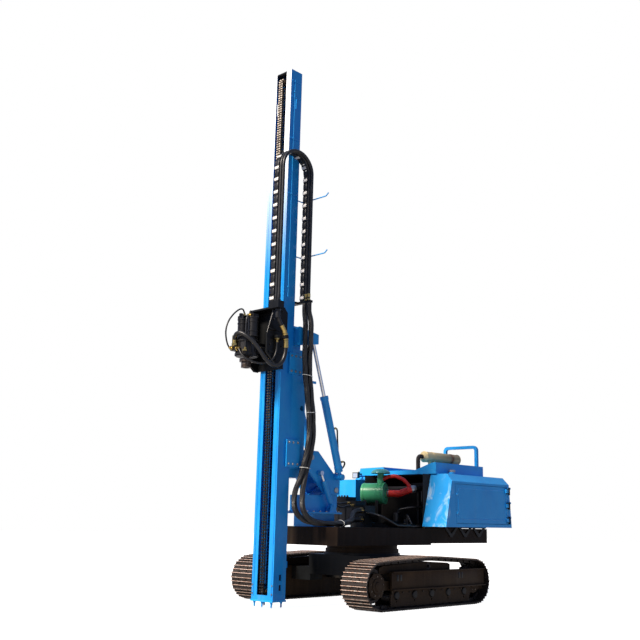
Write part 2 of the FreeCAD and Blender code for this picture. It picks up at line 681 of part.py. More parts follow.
def build_rear_door():
    """Rear door of the engine bay, with louvre slots and hinge knuckles."""
    half = BOX_INNER - 8
    x0 = BOX_REAR + 12
    panel = box(x0, x0 + DOOR_THICK, -half, half, BOX_FLOOR + 8, BOX_ROOF - 10)
    for i in range(7):
        z = BOX_FLOOR + 330 + i * 55
        panel = panel.cut(box(x0 - 1, x0 + DOOR_THICK + 1, -380, 380, z, z + 22))
    x, y = rear_hinge_line()
    knuckles = [box(x0 - 66, x0 + 1, half - 120, half - 90, 1330, 1350),
                box(x0 - 66, x0 + 1, half - 120, half - 90, 1490, 1510),
                box(x0 - 66, x0 - 46, half - 120, half - 90, 1350, 1490)]
    for z in hinge_zs():
        low, high = z - HINGE_LENGTH / 2, z + HINGE_LENGTH / 2
        knuckles.append(rod((x, y, low), (x, y, high), HINGE_RADIUS))
        knuckles.append(box(x, x0 + 6, y, y + 60, low, high))
    return join(panel, *knuckles)


def build_engine():
    """The engine as one plain block on its feet."""
    block = box(-2150, -1250, -260, 260, 1150, 1640)
    head = box(-2050, -1350, -130, 130, 1640, 1780)
    feet = [box(x, x + 90, -300, 300, DECK_TOP, 1150) for x in (-2100, -1390)]
    return join(block, head, *feet)


def build_air_cleaner():
    """Air cleaner drum, set askew across the machine, with its stem, rain cap and saddle feet."""
    x, y, z = CLEANER
    radius = CLEANER_RADIUS
    drum = rod((x, y - 182, z), (x, y + 150, z), radius)
    lid = rod((x, y + 150, z), (x, y + CLEANER_LID, z), radius + 8)
    stem = rod((x, y + 100, z + radius - 30), (x, y + 100, 1900), 52)
    cap = Part.makeCone(150, 60, 48, V(x, y + 100, 1900), Z_AXIS)
    outlet = rod((x, y + CLEANER_LID, z), (x, y + CLEANER_LID + 30, z), 62)
    feet = [box(x - 110, x + 110, y + off - 20, y + off + 20, DECK_TOP + 96, z - 60) for off in (-120.0, 70.0)]
    body = join(drum, lid, stem, cap, outlet, *feet)
    body.rotate(V(x, y, 0), Z_AXIS, CLEANER_TURN)
    return body


def along_cleaner(reach):
    """X and Y of a point on the air cleaner's axis, at a distance from its middle."""
    turn = math.radians(CLEANER_TURN)
    return CLEANER[0] - reach * math.sin(turn), CLEANER[1] + reach * math.cos(turn)


def build_hydraulic_pump():
    """Dark pump and tank block under the air cleaner."""
    return box(-640, -260, -480, 300, DECK_TOP, DECK_TOP + 96)


def build_duct():
    """Red intake duct from the air cleaner's lid back into the engine bay."""
    z = CLEANER[2]
    first = along_cleaner(CLEANER_LID + 30 + SEAT_GAP)
    bend = along_cleaner(CLEANER_LID + 230)
    last = along_cleaner(CLEANER_LID + 420)
    route = [(*first, z), (*bend, z), (*last, z + 70), (last[0] - 320, last[1] + 20, z + 90)]
    return round_path(route, 52, 110)


def round_path(points, radius, bend, corners=0):
    """A round or square bar along straight runs with arcs of one bend radius between them."""
    vectors = [V(*p) for p in points]
    edges, start = [], vectors[0]
    for i in range(1, len(vectors) - 1):
        into = (vectors[i] - vectors[i - 1]).normalize()
        out = (vectors[i + 1] - vectors[i]).normalize()
        turn = into.getAngle(out)
        if turn < 1e-4:
            continue
        setback = bend * math.tan(turn / 2)
        a, b = vectors[i] - into * setback, vectors[i] + out * setback
        inward = (out - into).normalize()
        middle = vectors[i] + inward * (bend / math.cos(turn / 2) - bend)
        if (a - start).Length > 1e-3:
            edges.append(Part.LineSegment(start, a).toShape())
        edges.append(Part.Arc(a, middle, b).toShape())
        start = b
    edges.append(Part.LineSegment(start, vectors[-1]).toShape())
    wire = Part.Wire(edges)
    first = (vectors[1] - vectors[0]).normalize()
    if corners:
        start = vectors[0]
        profile = Part.makePolygon([start + V(a * radius, b * radius, 0)
                                    for a, b in ((-1, -1), (1, -1), (1, 1), (-1, 1), (-1, -1))])
    else:
        profile = Part.Wire([Part.makeCircle(radius, vectors[0], first)])
    return wire.makePipeShell([profile], True, False)


def build_muffler():
    """Muffler drum along the roof on two saddles, with its tail pipe turned to the front."""
    y, z, radius = 200.0, 2195.0, 86.0
    drum = rod((-2190, y, z), (-1270, y, z), radius)
    cap = Part.makeCone(radius, radius - 36, 40, V(-1270, y, z), X_AXIS)
    saddles = [box(x - 20, x + 20, y - 60, y + 60, BOX_ROOF + 14, z - 50) for x in (-1990.0, -1480.0)]
    return join(drum, cap, *saddles)


def build_exhaust_pipe():
    """Bent pipe from the bay's roof to the muffler's front end."""
    return round_path([(-1120, 200, BOX_ROOF + 14), (-1120, 200, 2195), (-1229, 200, 2195)], 34, 60)


def build_handrail():
    """Hoop handrail of square tube across the roof."""
    x, top, near, far = -2060.0, 2385.0, 690.0, 60.0
    return round_path([(x, near, TIER_TOP), (x, near, top), (x, far, top), (x, far, BOX_ROOF + 14)], RAIL_HALF, 60, 4)


def build_valve_bank():
    """Control valve bank in a dark stepped case behind the boom's foot."""
    low, high = VALVE_FRONT - 230, VALVE_FRONT
    case = box(low, high, -430, 250, DECK_TOP + 60, 1380)
    middle = box(low, high, -430, 60, 1370, 1450)
    upper = box(low, high, -430, -140, 1440, 1510)
    feet = [box(low + 30, high - 30, y - 30, y + 30, DECK_TOP, DECK_TOP + 60) for y in (-360.0, 180.0)]
    return join(case, middle, upper, *feet)


def build_lamp():
    """Work lamp in front of the right box's roof, on an arm from the cowl."""
    body = box(-800, -750, -880, -775, BOX_ROOF - 43, BOX_ROOF + 41)
    arm = box(COWL_FRONT, -795, -840, -815, BOX_ROOF + 12, BOX_ROOF + 36)
    return join(body, arm)


def build_filler_cap():
    """Round filler cap on the left box's roof."""
    return rod((-1210, 800, BOX_ROOF), (-1210, 800, BOX_ROOF + 62), 48)


# ================================================================ boom
def build_pedestal():
    """Pedestal on the deck's nose: a raised flange, a column and the ears of the boom's foot pin."""
    riser = box(830, 1270, -190, 190, DECK_TOP, PEDESTAL_FLANGE_Z)
    flange = box(780, 1500, -PEDESTAL_FLANGE_HALF, PEDESTAL_FLANGE_HALF, PEDESTAL_FLANGE_Z, PEDESTAL_FLANGE_Z + 22)
    column = box(1010, 1400, -PEDESTAL_HALF, PEDESTAL_HALF, PEDESTAL_FLANGE_Z, 1500)
    ears = []
    for side in (-1, 1):
        inner, outer = sorted((side * PEDESTAL_HALF, side * (PEDESTAL_HALF - 35)))
        plate = plate_xz(
            [(740, PEDESTAL_FLANGE_Z + 100), (790, PEDESTAL_FLANGE_Z), (1100, PEDESTAL_FLANGE_Z), (1100, 1490),
             (PIVOT_X + 60, PIVOT_Z + 60), (PIVOT_X - 60, PIVOT_Z + 60)], inner, outer)
        ears.append(plate)
    lugs = [ear for y in ear_spans(LIFT_Y, LIFT_EYE_HALF, 15) for ear in (plate_xz(
        [(LIFT_FOOT_X - 80, PEDESTAL_FLANGE_Z), (LIFT_FOOT_X + 80, PEDESTAL_FLANGE_Z),
         (LIFT_FOOT_X + 30, LIFT_FOOT_Z + 38), (LIFT_FOOT_X - 30, LIFT_FOOT_Z + 38)], *y),)]
    body = join(riser, flange, column, *ears, *lugs)
    body = body.cut(rod((PIVOT_X, -300, PIVOT_Z), (PIVOT_X, 300, PIVOT_Z), PIN_RADIUS + SEAT_GAP))
    for side in (-1, 1):
        reach = LIFT_EYE_HALF + PIN_GAP + 22
        pin = rod((LIFT_FOOT_X, side * LIFT_Y - reach, LIFT_FOOT_Z), (LIFT_FOOT_X, side * LIFT_Y + reach, LIFT_FOOT_Z),
                  LIFT_PIN)
        body = join(body, pin)
    return body


def ear_spans(y, half, thick):
    """Y spans of the ears each side of a pinned eye, on both sides of the machine."""
    spans = []
    for side in (-1, 1):
        for edge in (half + PIN_GAP, -half - PIN_GAP - thick):
            spans.append(sorted((side * (y + edge), side * (y + edge + thick))))
    return spans


def build_boom():
    """Boom arm: two side plates joined by a box, with its foot pin, cradle pin and cylinder ears."""
    side_outline = [
        (PIVOT_X - 75, PIVOT_Z - 60), (PIVOT_X + 240, PIVOT_Z - 60), (HEAD_X + 130, HEAD_Z - 110),
        (HEAD_X + 130, HEAD_Z + 95), (HEAD_X - 130, HEAD_Z + 95), (TILT_FOOT_X + 60, TILT_FOOT_Z + 55),
        (PIVOT_X - 75, TILT_FOOT_Z + 55),
    ]
    shapes = []
    for side in (-1, 1):
        y0, y1 = sorted((side * BOOM_SIDE, side * (BOOM_SIDE + BOOM_PLATE)))
        shapes.append(plate_xz(side_outline, y0, y1))
    cross = plate_xz(
        [(PIVOT_X + 20, PIVOT_Z + 130), (PIVOT_X + 130, PIVOT_Z + 100), (HEAD_X - 150, HEAD_Z - 120),
         (HEAD_X - 150, HEAD_Z - 20), (PIVOT_X + 20, TILT_FOOT_Z + 30)], -BOOM_SIDE - 5, BOOM_SIDE + 5)
    shapes.append(cross)
    shapes.append(rod((PIVOT_X, -BOOM_SIDE - BOOM_PLATE - 8, PIVOT_Z), (PIVOT_X, BOOM_SIDE + BOOM_PLATE + 8, PIVOT_Z),
                      PIN_RADIUS))
    shapes.append(rod((HEAD_X, -BOOM_SIDE - BOOM_PLATE - 8, HEAD_Z), (HEAD_X, BOOM_SIDE + BOOM_PLATE + 8, HEAD_Z),
                      PIN_RADIUS))
    reach = TILT_Y + TILT_EYE_HALF + 24
    shapes.append(rod((TILT_FOOT_X, -reach, TILT_FOOT_Z), (TILT_FOOT_X, reach, TILT_FOOT_Z), PIN_RADIUS))
    for side in (-1, 1):
        for inner, outer in ((TILT_Y - TILT_EYE_HALF - PIN_GAP - 45, TILT_Y - TILT_EYE_HALF - PIN_GAP),
                             (TILT_Y + TILT_EYE_HALF + PIN_GAP, reach)):
            shapes.append(rod((TILT_FOOT_X, side * inner, TILT_FOOT_Z), (TILT_FOOT_X, side * outer, TILT_FOOT_Z), 42))
        y0, y1 = sorted((side * (BOOM_SIDE + 5), side * (LIFT_Y - LIFT_EYE_HALF - PIN_GAP)))
        shapes.append(rod((LIFT_EYE_X, y0, LIFT_EYE_Z), (LIFT_EYE_X, y1, LIFT_EYE_Z), LIFT_EYE_RADIUS + 6))
    tie_y = 278 - SLEEVE / 2 - 2.0
    shapes.append(rod((1400, BOOM_SIDE + 5, 1945), (1400, tie_y, 1945), 16))
    shapes.append(plate_xz([(1370, 1960), (1430, 1960), (1575, 1855), (1575, 1815), (1430, 1815), (1370, 1915)],
                           tie_y - 12, tie_y))
    return join(*shapes)


def cylinder_barrel(foot, tip, y, radius, rod_radius, start, length, eye_radius, pin_radius, eye_half):
    """A cylinder's barrel: its foot eye, a neck, and a tube with a gland from start to length along the line."""
    ux, uz, _ = along(*foot, *tip)
    at = lambda d: (foot[0] + ux * d, y, foot[1] + uz * d)
    neck = rod(at(0), at(start + 5), eye_half - 1)
    wall = rod(at(start), at(length), radius)
    gland = rod(at(length - radius * 0.9), at(length), radius * 1.1)
    eye = rod((foot[0], y - eye_half, foot[1]), (foot[0], y + eye_half, foot[1]), eye_radius)
    body = join(wall, gland, eye, neck)
    body = body.cut(rod(at(start + 20), at(length - radius * 0.9), rod_radius + 5))
    body = body.cut(rod(at(start + 20), at(length + 5), rod_radius + SEAT_GAP))
    return body.cut(rod((foot[0], y - 200, foot[1]), (foot[0], y + 200, foot[1]), pin_radius + SEAT_GAP))


def cylinder_rod(foot, tip, y, radius, start, eye_radius, eye_half):
    """A cylinder's rod, from inside the barrel to its eye at the tip."""
    ux, uz, length = along(*foot, *tip)
    at = lambda d: (foot[0] + ux * d, y, foot[1] + uz * d)
    bar = rod(at(start), at(length - eye_radius * 0.6), radius)
    eye = rod((tip[0], y - eye_half, tip[1]), (tip[0], y + eye_half, tip[1]), eye_radius)
    return join(bar, eye)


def build_lift_cylinders():
    """Barrels and rods of the two boom lift cylinders."""
    foot, tip = (LIFT_FOOT_X, LIFT_FOOT_Z), (LIFT_EYE_X, LIFT_EYE_Z)
    barrel = cylinder_barrel(foot, tip, LIFT_Y, 40, LIFT_ROD, LIFT_BARREL_START, LIFT_BARREL_END, LIFT_EYE_RADIUS,
                             LIFT_PIN, LIFT_EYE_HALF)
    piston = cylinder_rod(foot, tip, LIFT_Y, LIFT_ROD, LIFT_BARREL_START + 40, LIFT_EYE_RADIUS, LIFT_EYE_HALF)
    return both(barrel), both(piston)


def build_tilt_cylinders():
    """Barrels and rods of the two mast tilt cylinders."""
    foot, tip = (TILT_FOOT_X, TILT_FOOT_Z), (TILT_EYE_X, TILT_EYE_Z)
    barrel = cylinder_barrel(foot, tip, TILT_Y, 56, TILT_ROD, TILT_BARREL_START, TILT_BARREL_END, TILT_EYE_RADIUS,
                             PIN_RADIUS, TILT_EYE_HALF)
    piston = cylinder_rod(foot, tip, TILT_Y, TILT_ROD, 710, TILT_EYE_RADIUS, TILT_EYE_HALF)
    return both(barrel), both(piston)


# ================================================================ cradle
def build_cradle():
    """Mast cradle: a hollow column behind the mast, its pivot lugs, side clamps and cylinder ears."""
    front = MAST_BACK - MAST_RUN_GAP
    outer = box(CRADLE_BACK, front, -CRADLE_HALF, CRADLE_HALF, CRADLE_BOTTOM, CRADLE_TOP)
    inner = box(CRADLE_BACK + CRADLE_PLATE, front - CRADLE_PLATE, -CRADLE_HALF + CRADLE_PLATE,
                CRADLE_HALF - CRADLE_PLATE, CRADLE_BOTTOM - 1, CRADLE_TOP - CRADLE_PLATE)
    column = outer.cut(inner)
    hole = rod((CRADLE_BACK + 60, -300, 2690), (CRADLE_BACK + 60, 300, 2690), 38)
    column = column.cut(hole)
    block = box(CRADLE_BACK + 20, front, -CRADLE_HALF + 30, CRADLE_HALF - 30, CRADLE_BOTTOM - 120,
                CRADLE_BOTTOM + 30)
    shapes = [column, block]
    for side in (-1, 1):
        y0, y1 = sorted((side * 100, side * 144))
        shapes.append(plate_xz(
            [(HEAD_X - 45, HEAD_Z - 60), (CRADLE_BACK + 10, HEAD_Z - 110), (CRADLE_BACK + 10, HEAD_Z + 110),
             (HEAD_X - 45, HEAD_Z + 60)], y0, y1))
    crosshead = box(1600, front, -170, 170, CRADLE_TOP, 3860)
    shapes.append(crosshead)
    clamp_y = 377 - SLEEVE / 2 - SEAT_GAP
    shapes.append(box(CRADLE_BACK + 10, CRADLE_BACK + 50, CRADLE_HALF - 5, clamp_y, CLAMP_Z - 18, CLAMP_Z + 18))
    shapes.append(box(1425, 1575, clamp_y - 10, clamp_y, CLAMP_Z - 18, CLAMP_Z + 18))
    for side in (-1, 1):
        for offset in (-TILT_EYE_HALF - PIN_GAP - 28, TILT_EYE_HALF + PIN_GAP):
            y0, y1 = sorted((side * (TILT_Y + offset), side * (TILT_Y + offset + 28)))
            shapes.append(plate_xz(
                [(TILT_EYE_X - 70, TILT_EYE_Z - 70), (front, TILT_EYE_Z - 130), (front, TILT_EYE_Z + 130),
                 (TILT_EYE_X - 70, TILT_EYE_Z + 70)], y0, y1))
        y0, y1 = sorted((side * 160, side * (TILT_Y + TILT_EYE_HALF + PIN_GAP + 28)))
        shapes.append(box(front - 50, front, y0, y1, TILT_EYE_Z - 130, TILT_EYE_Z + 130))
        for z0, z1 in ((1860.0, 2235.0), (3150.0, 3450.0)):
            inside = MAST_HALF + CLAMP_CLEAR
            y0, y1 = sorted((side * inside, side * (inside + CLAMP_THICK)))
            shapes.append(box(CRADLE_BACK + 120, MAST_BACK + CLAMP_LAP, y0, y1, z0, z1))
            y0, y1 = sorted((side * (CRADLE_HALF - 5), side * (inside + 5)))
            shapes.append(box(CRADLE_BACK + 120, front, y0, y1, z0, z1))
    body = join(*shapes).cut(rod((SLIDE_X, SLIDE_Y, CRADLE_BOTTOM - 150), (SLIDE_X, SLIDE_Y, CRADLE_BOTTOM + 60),
                                 SLIDE_BARREL_RADIUS))
    return body.cut(rod((HEAD_X, -300, HEAD_Z), (HEAD_X, 300, HEAD_Z), PIN_RADIUS + SEAT_GAP))


def build_slide_cylinder():
    """Mast slide cylinder: its barrel in the cradle and its rod down to the mast's bracket."""
    top = SLIDE_BARREL_LOW + SLIDE_STROKE + 560
    barrel = rod((SLIDE_X, SLIDE_Y, SLIDE_BARREL_LOW), (SLIDE_X, SLIDE_Y, top), SLIDE_BARREL_RADIUS)
    barrel = barrel.cut(rod((SLIDE_X, SLIDE_Y, SLIDE_BARREL_LOW - 1), (SLIDE_X, SLIDE_Y, top - 20),
                            SLIDE_ROD_RADIUS + SEAT_GAP))
    piston = rod((SLIDE_X, SLIDE_Y, SLIDE_BRACKET_TOP), (SLIDE_X, SLIDE_Y, top - 30 - SLIDE_STROKE),
                 SLIDE_ROD_RADIUS)
    return barrel, piston


# ================================================================ mast
def build_mast():
    """Mast beam: a box with a slot down its front, side holes, and the slide rod's bracket."""
    x0, x1 = MAST_BACK, MAST_BACK + MAST_DEPTH
    outer = box(x0, x1, -MAST_HALF, MAST_HALF, MAST_BOTTOM, MAST_TOP)
    inner = box(x0 + MAST_WALL, x1 - MAST_WALL, -MAST_HALF + MAST_WALL, MAST_HALF - MAST_WALL,
                MAST_BOTTOM - 1, MAST_TOP + 1)
    slot = box(x1 - MAST_WALL - 1, x1 + 1, -MAST_SLOT_HALF, MAST_SLOT_HALF, MAST_BOTTOM + 60, MAST_TOP + 1)
    beam = outer.cut(inner).cut(slot)
    for z in (270.0, 400.0):
        beam = beam.cut(box(x0 + 85, x0 + 125, -MAST_HALF - 1, MAST_HALF + 1, z - 38, z + 38))
    beam = beam.cut(box(x0 + 90, x0 + 120, -MAST_HALF - 1, MAST_HALF + 1, MAST_TOP - 620, MAST_TOP - 420))
    bracket = box(SLIDE_X - 50, MAST_BACK + 5, SLIDE_Y - 50, SLIDE_Y + 50, SLIDE_BRACKET_TOP - 85, SLIDE_BRACKET_TOP)
    return join(beam, bracket)


def build_mast_foot():
    """Foot plate with six ground spikes."""
    plate = box(MAST_BACK - 15, MAST_BACK + MAST_DEPTH + 12, -MAST_HALF - 8, MAST_HALF + 8,
                MAST_BOTTOM - FOOT_THICK, MAST_BOTTOM)
    spikes = []
    for x in (MAST_BACK + 30, MAST_BACK + MAST_DEPTH - 20):
        for y in (-165.0, -15.0, 165.0):
            spikes.append(Part.makeCone(8, 22, MAST_BOTTOM - FOOT_THICK + 2 - SPIKE_TIP, V(x, y, SPIKE_TIP), Z_AXIS))
    return join(plate, *spikes)


def build_feed_chain():
    """Two strands of the feed chain, each a closed band round both sprockets."""
    strands = []
    for side in (-1, 1):
        y0 = CHAIN_Y + side * (CHAIN_GAP / 2) + (0 if side > 0 else -CHAIN_STRAND)
        y1 = y0 + CHAIN_STRAND
        bands = []
        for radius in (CHAIN_RADIUS + CHAIN_THICK / 2, CHAIN_RADIUS - CHAIN_THICK / 2):
            middle = box(CHAIN_X - radius, CHAIN_X + radius, y0, y1, CHAIN_LOW_Z, CHAIN_HIGH_Z)
            ends = [rod((CHAIN_X, y0, z), (CHAIN_X, y1, z), radius) for z in (CHAIN_LOW_Z, CHAIN_HIGH_Z)]
            bands.append(join(middle, *ends))
        strands.append(bands[0].cut(bands[1]))
    return strands


def build_sprocket_wheel(z):
    """A chain sprocket between the strands, on its shaft."""
    half = CHAIN_GAP / 2 - SEAT_GAP
    wheel = rod((CHAIN_X, CHAIN_Y - half, z), (CHAIN_X, CHAIN_Y + half, z), CHAIN_RADIUS + 8)
    hub = rod((CHAIN_X, CHAIN_Y - 48, z), (CHAIN_X, CHAIN_Y + 48, z), CHAIN_RADIUS - CHAIN_THICK / 2 - 8)
    reach = MAST_HALF - MAST_WALL - SEAT_GAP
    shaft = rod((CHAIN_X, -reach, z), (CHAIN_X, reach, z), 16)
    return join(wheel, hub, shaft)


def build_hose_guides():
    """Bulkhead bar for the hoses and two guide rods, on the mast's back edge."""
    bar = box(1652, 1710, 0, 445, BULKHEAD_Z - BULKHEAD_HALF, BULKHEAD_Z + BULKHEAD_HALF)
    arm = box(1652, MAST_BACK, 150, 200, BULKHEAD_Z - BULKHEAD_HALF, BULKHEAD_Z + BULKHEAD_HALF)
    behind = LOOP_MID_X - LOOP_RADIUS - LOOP_THICK / 2 - 15
    rods = []
    for z in (4890.0, 5760.0):
        rods.append(round_path([(MAST_BACK, 185, z), (behind, 185, z), (behind, 655, z), (behind, 705, z + 40)], 9, 30))
    return join(bar, arm), rods


# ================================================================ carriage and drill head
def build_carriage():
    """Carriage: a dark frame on the mast's front with two cheek plates and the hoses' arms."""
    x1 = MAST_BACK + MAST_DEPTH
    face = box(x1 + 8, x1 + 8 + CARRIAGE_PLATE, -CARRIAGE_SIDE, CARRIAGE_SIDE, CARRIAGE_BOTTOM, CARRIAGE_TOP)
    cheeks = []
    for side in (-1, 1):
        y0, y1 = sorted((side * (CARRIAGE_SIDE - CARRIAGE_PLATE), side * CARRIAGE_SIDE))
        cheeks.append(plate_xz(
            [(x1 + 8, CARRIAGE_BOTTOM + 120), (x1 - 50, CARRIAGE_BOTTOM + 380), (x1 - 50, CARRIAGE_TOP - 60),
             (x1 + 8, CARRIAGE_TOP), (CARRIAGE_FRONT + 60, CARRIAGE_TOP), (CARRIAGE_FRONT + 190, GEAR_TOP + 100),
             (CARRIAGE_FRONT + 190, CARRIAGE_BOTTOM + 200), (x1 + 90, CARRIAGE_BOTTOM), (x1 + 8, CARRIAGE_BOTTOM)],
            y0, y1))
    top = box(x1 + 8, CARRIAGE_FRONT + 60, -CARRIAGE_SIDE, CARRIAGE_SIDE, CARRIAGE_TOP - 25, CARRIAGE_TOP)
    shelf = box(x1 + 8, CARRIAGE_FRONT + 100, -CARRIAGE_SIDE, CARRIAGE_SIDE, GEAR_TOP - 90, GEAR_TOP - 50)
    tongue = box(CHAIN_X + 20, x1 + 20, 25, 65, CARRIAGE_BOTTOM + 250, CARRIAGE_TOP - 250)
    pads = []
    for y in (-180.0, 130.0):
        for z in (CARRIAGE_BOTTOM + 60, CARRIAGE_TOP - 160):
            pads.append(box(x1 + SEAT_GAP, x1 + 10, y, y + 50, z, z + 100))
    arm = box(2200, 2310, CARRIAGE_SIDE - 18, LOOP_HOSE_YS[1] + 36, CARRIAGE_TOP - 60, DROP_END_Z - SEAT_GAP)
    clamp = box(2060, 2210, CARRIAGE_SIDE - CARRIAGE_PLATE, CARRIAGE_SIDE + 67, HEAD_CLAMP_Z, HEAD_CLAMP_Z + 30)
    return join(face, *cheeks, top, shelf, tongue, arm, clamp, *pads)


def build_gearbox():
    """Drill head gearbox, a round housing on its bracket."""
    drum = rod((SPINDLE_X, 0, GEAR_BOTTOM), (SPINDLE_X, 0, GEAR_TOP), GEAR_RADIUS)
    collar = rod((SPINDLE_X, 0, GEAR_TOP), (SPINDLE_X, 0, GEAR_TOP + 30), GEAR_RADIUS - 8)
    neck = box(CARRIAGE_FRONT + 100, SPINDLE_X, -150, 150, GEAR_TOP - 90, GEAR_TOP - 50)
    ports = [box(SPINDLE_X + 100, PORT_FRONT, -120, -20, PORT_TOP - 70, PORT_TOP),
             box(SPINDLE_X + 60, SPINDLE_X + 142, 80, 135, LOW_PORT_TOP - 40, LOW_PORT_TOP)]
    body = join(drum, collar, neck, *ports)
    return body.cut(rod((SPINDLE_X, 0, GEAR_BOTTOM - 1), (SPINDLE_X, 0, GEAR_BOTTOM + 60), SHAFT_RADIUS + SEAT_GAP))


def build_motors():
    """Two hydraulic motors on top of the gearbox."""
    motor = rod((SPINDLE_X, MOTOR_Y, GEAR_TOP + 30), (SPINDLE_X, MOTOR_Y, MOTOR_TOP), MOTOR_RADIUS)
    port = box(SPINDLE_X - 50, SPINDLE_X + 50, MOTOR_Y - 60, MOTOR_Y + 60, MOTOR_TOP, MOTOR_TOP + 50)
    return both(join(motor, port))


def build_chuck():
    """Output shaft and pile chuck."""
    shaft = rod((SPINDLE_X, 0, GEAR_BOTTOM - 40), (SPINDLE_X, 0, GEAR_BOTTOM + 50), SHAFT_RADIUS)
    flange = rod((SPINDLE_X, 0, GEAR_BOTTOM - 70), (SPINDLE_X, 0, GEAR_BOTTOM - 30), 95)
    socket = rod((SPINDLE_X, 0, GEAR_BOTTOM - 150), (SPINDLE_X, 0, GEAR_BOTTOM - 70), 70)
    well = rod((SPINDLE_X, 0, GEAR_BOTTOM - 151), (SPINDLE_X, 0, GEAR_BOTTOM - 150 + SOCKET_DEPTH), SOCKET_BORE)
    return join(shaft, flange, socket).cut(well)


# ================================================================ hose loop
def loop_arc(y0, y1, radius, thick):
    """Half ring of the hose loop's top."""
    outer = rod((LOOP_MID_X, y0, LOOP_CENTRE_Z), (LOOP_MID_X, y1, LOOP_CENTRE_Z), radius + thick / 2)
    inner = rod((LOOP_MID_X, y0 - 1, LOOP_CENTRE_Z), (LOOP_MID_X, y1 + 1, LOOP_CENTRE_Z), radius - thick / 2)
    below = box(LOOP_MID_X - 500, LOOP_MID_X + 500, y0 - 2, y1 + 2, LOOP_CENTRE_Z - 500, LOOP_CENTRE_Z)
    return outer.cut(inner).cut(below)


def loop_leg(x, z0, z1):
    """A straight leg of the loop: the carrier chain and the two hoses beside it."""
    carrier = box(x - LOOP_THICK / 2, x + LOOP_THICK / 2, LOOP_Y0, LOOP_Y1, z0, z1)
    hoses = [rod((x, y, z0), (x, y, z1), LOOP_HOSE / 2) for y in LOOP_HOSE_YS]
    return [carrier] + hoses


def build_hose_loop():
    """The loop in four pieces: top arc, rising leg, dropping leg and the link block between them."""
    arc = [loop_arc(LOOP_Y0, LOOP_Y1, LOOP_RADIUS, LOOP_THICK)]
    arc += [loop_arc(y - LOOP_HOSE / 2, y + LOOP_HOSE / 2, LOOP_RADIUS, LOOP_HOSE) for y in LOOP_HOSE_YS]
    rear_x, front_x = LOOP_MID_X - LOOP_RADIUS, LOOP_MID_X + LOOP_RADIUS
    rise = loop_leg(rear_x, BULKHEAD_Z + BULKHEAD_HALF + SEAT_GAP, LOOP_CENTRE_Z - SEAT_GAP)
    link = loop_leg(front_x, LOOP_CENTRE_Z - FOLLOWER_HEIGHT, LOOP_CENTRE_Z - SEAT_GAP)
    drop = loop_leg(front_x, DROP_END_Z, LOOP_CENTRE_Z - FOLLOWER_HEIGHT - SEAT_GAP)
    return arc, rise, link, drop


# ================================================================ hoses
def flexible(name, points, diameter, cuts=()):
    """A hose as straight runs with arcs as large as the runs allow, cut in the middle of the listed runs.

    Prints its length and its arc radii in diameters, and returns one solid for each stretch.
    """
    vectors = [V(*p) for p in points]
    runs = [(b - a).Length for a, b in zip(vectors, vectors[1:])]
    edges, start, radii, stretches = [], vectors[0], [], []

    def straight(end, run):
        nonlocal start, edges
        if run in cuts:
            middle = (vectors[run] + vectors[run + 1]) * 0.5
            half_gap = (vectors[run + 1] - vectors[run]).normalize() * (SEAT_GAP / 2)
            edges.append(Part.LineSegment(start, middle - half_gap).toShape())
            stretches.append(edges)
            edges, start = [], middle + half_gap
        edges.append(Part.LineSegment(start, end).toShape())

    for i in range(1, len(vectors) - 1):
        into = (vectors[i] - vectors[i - 1]).normalize()
        out = (vectors[i + 1] - vectors[i]).normalize()
        turn = into.getAngle(out)
        setback = 0.45 * min(runs[i - 1], runs[i])
        bend = setback / math.tan(turn / 2)
        radii.append(round(bend / diameter, 1))
        a, b = vectors[i] - into * setback, vectors[i] + out * setback
        middle = vectors[i] + (out - into).normalize() * (bend / math.cos(turn / 2) - bend)
        straight(a, i - 1)
        edges.append(Part.Arc(a, middle, b).toShape())
        start = b
    straight(vectors[-1], len(runs) - 1)
    stretches.append(edges)
    solids, length, volume = [], 0.0, 0.0
    for stretch in stretches:
        wire = Part.Wire(stretch)
        begin = stretch[0].Vertexes[0].Point
        profile = Part.Wire([Part.makeCircle(diameter / 2, begin, stretch[0].tangentAt(stretch[0].FirstParameter))])
        solids.append(wire.makePipeShell([profile], True, False))
        length += wire.Length
        volume += solids[-1].Volume
    share = volume / (math.pi * diameter ** 2 / 4 * length)
    print(f"{name}: {length:.0f} mm, arc radii in diameters {radii}, volume over section by length {share:.3f}")
    return solids


BUNDLE_TOP = BULKHEAD_Z - BULKHEAD_HALF - SEAT_GAP
CASE_FACE = VALVE_FRONT + SEAT_GAP
BUNDLES = {
    "front": [
        (1681, 318, BUNDLE_TOP), (1681, 318, 4060), (1672, 345, 3930), (1650, 370, 3790), (1598, 378, 3530),
        (1556, 379, 3220), (1542, 376, 2900), (1536, 371, 2640), (1526, 358, 2400), (1522, 336, 2190),
        (1528, 300, 2000), (1540, 278, 1830), (1560, 284, 1660), (1630, 306, 1500), (1650, 334, 1320),
        (1555, 348, 1175), (1370, 344, 1118), (1160, 334, 1108), (880, 322, 1112), (640, 278, 1130),
        (440, 190, 1180), (CASE_FACE, 190, 1180),
    ],
    "back": [
        (1681, 400, BUNDLE_TOP), (1681, 400, 4060), (1640, 428, 3930), (1574, 430, 3780), (1506, 404, 3530),
        (1470, 384, 3220), (1456, 376, 2900), (1446, 372, 2640), (1436, 360, 2400), (1432, 338, 2190),
        (1440, 300, 2000), (1456, 278, 1830), (1486, 316, 1670), (1575, 396, 1510), (1606, 432, 1330),
        (1520, 440, 1180), (1340, 432, 1118), (1130, 420, 1108), (860, 410, 1112), (640, 370, 1150),
        (440, 200, 1310), (CASE_FACE, 200, 1310),
    ],
}
BUNDLE_CUTS = (5, 10, 16)           # on the mast, along the cradle, at the boom, on the deck
BUNDLE_NODES = ("hoses_mast", "hoses_cradle", "hoses_boom", "hoses_deck")
BOOM_TOP = TILT_FOOT_Z + 55 + SEAT_GAP
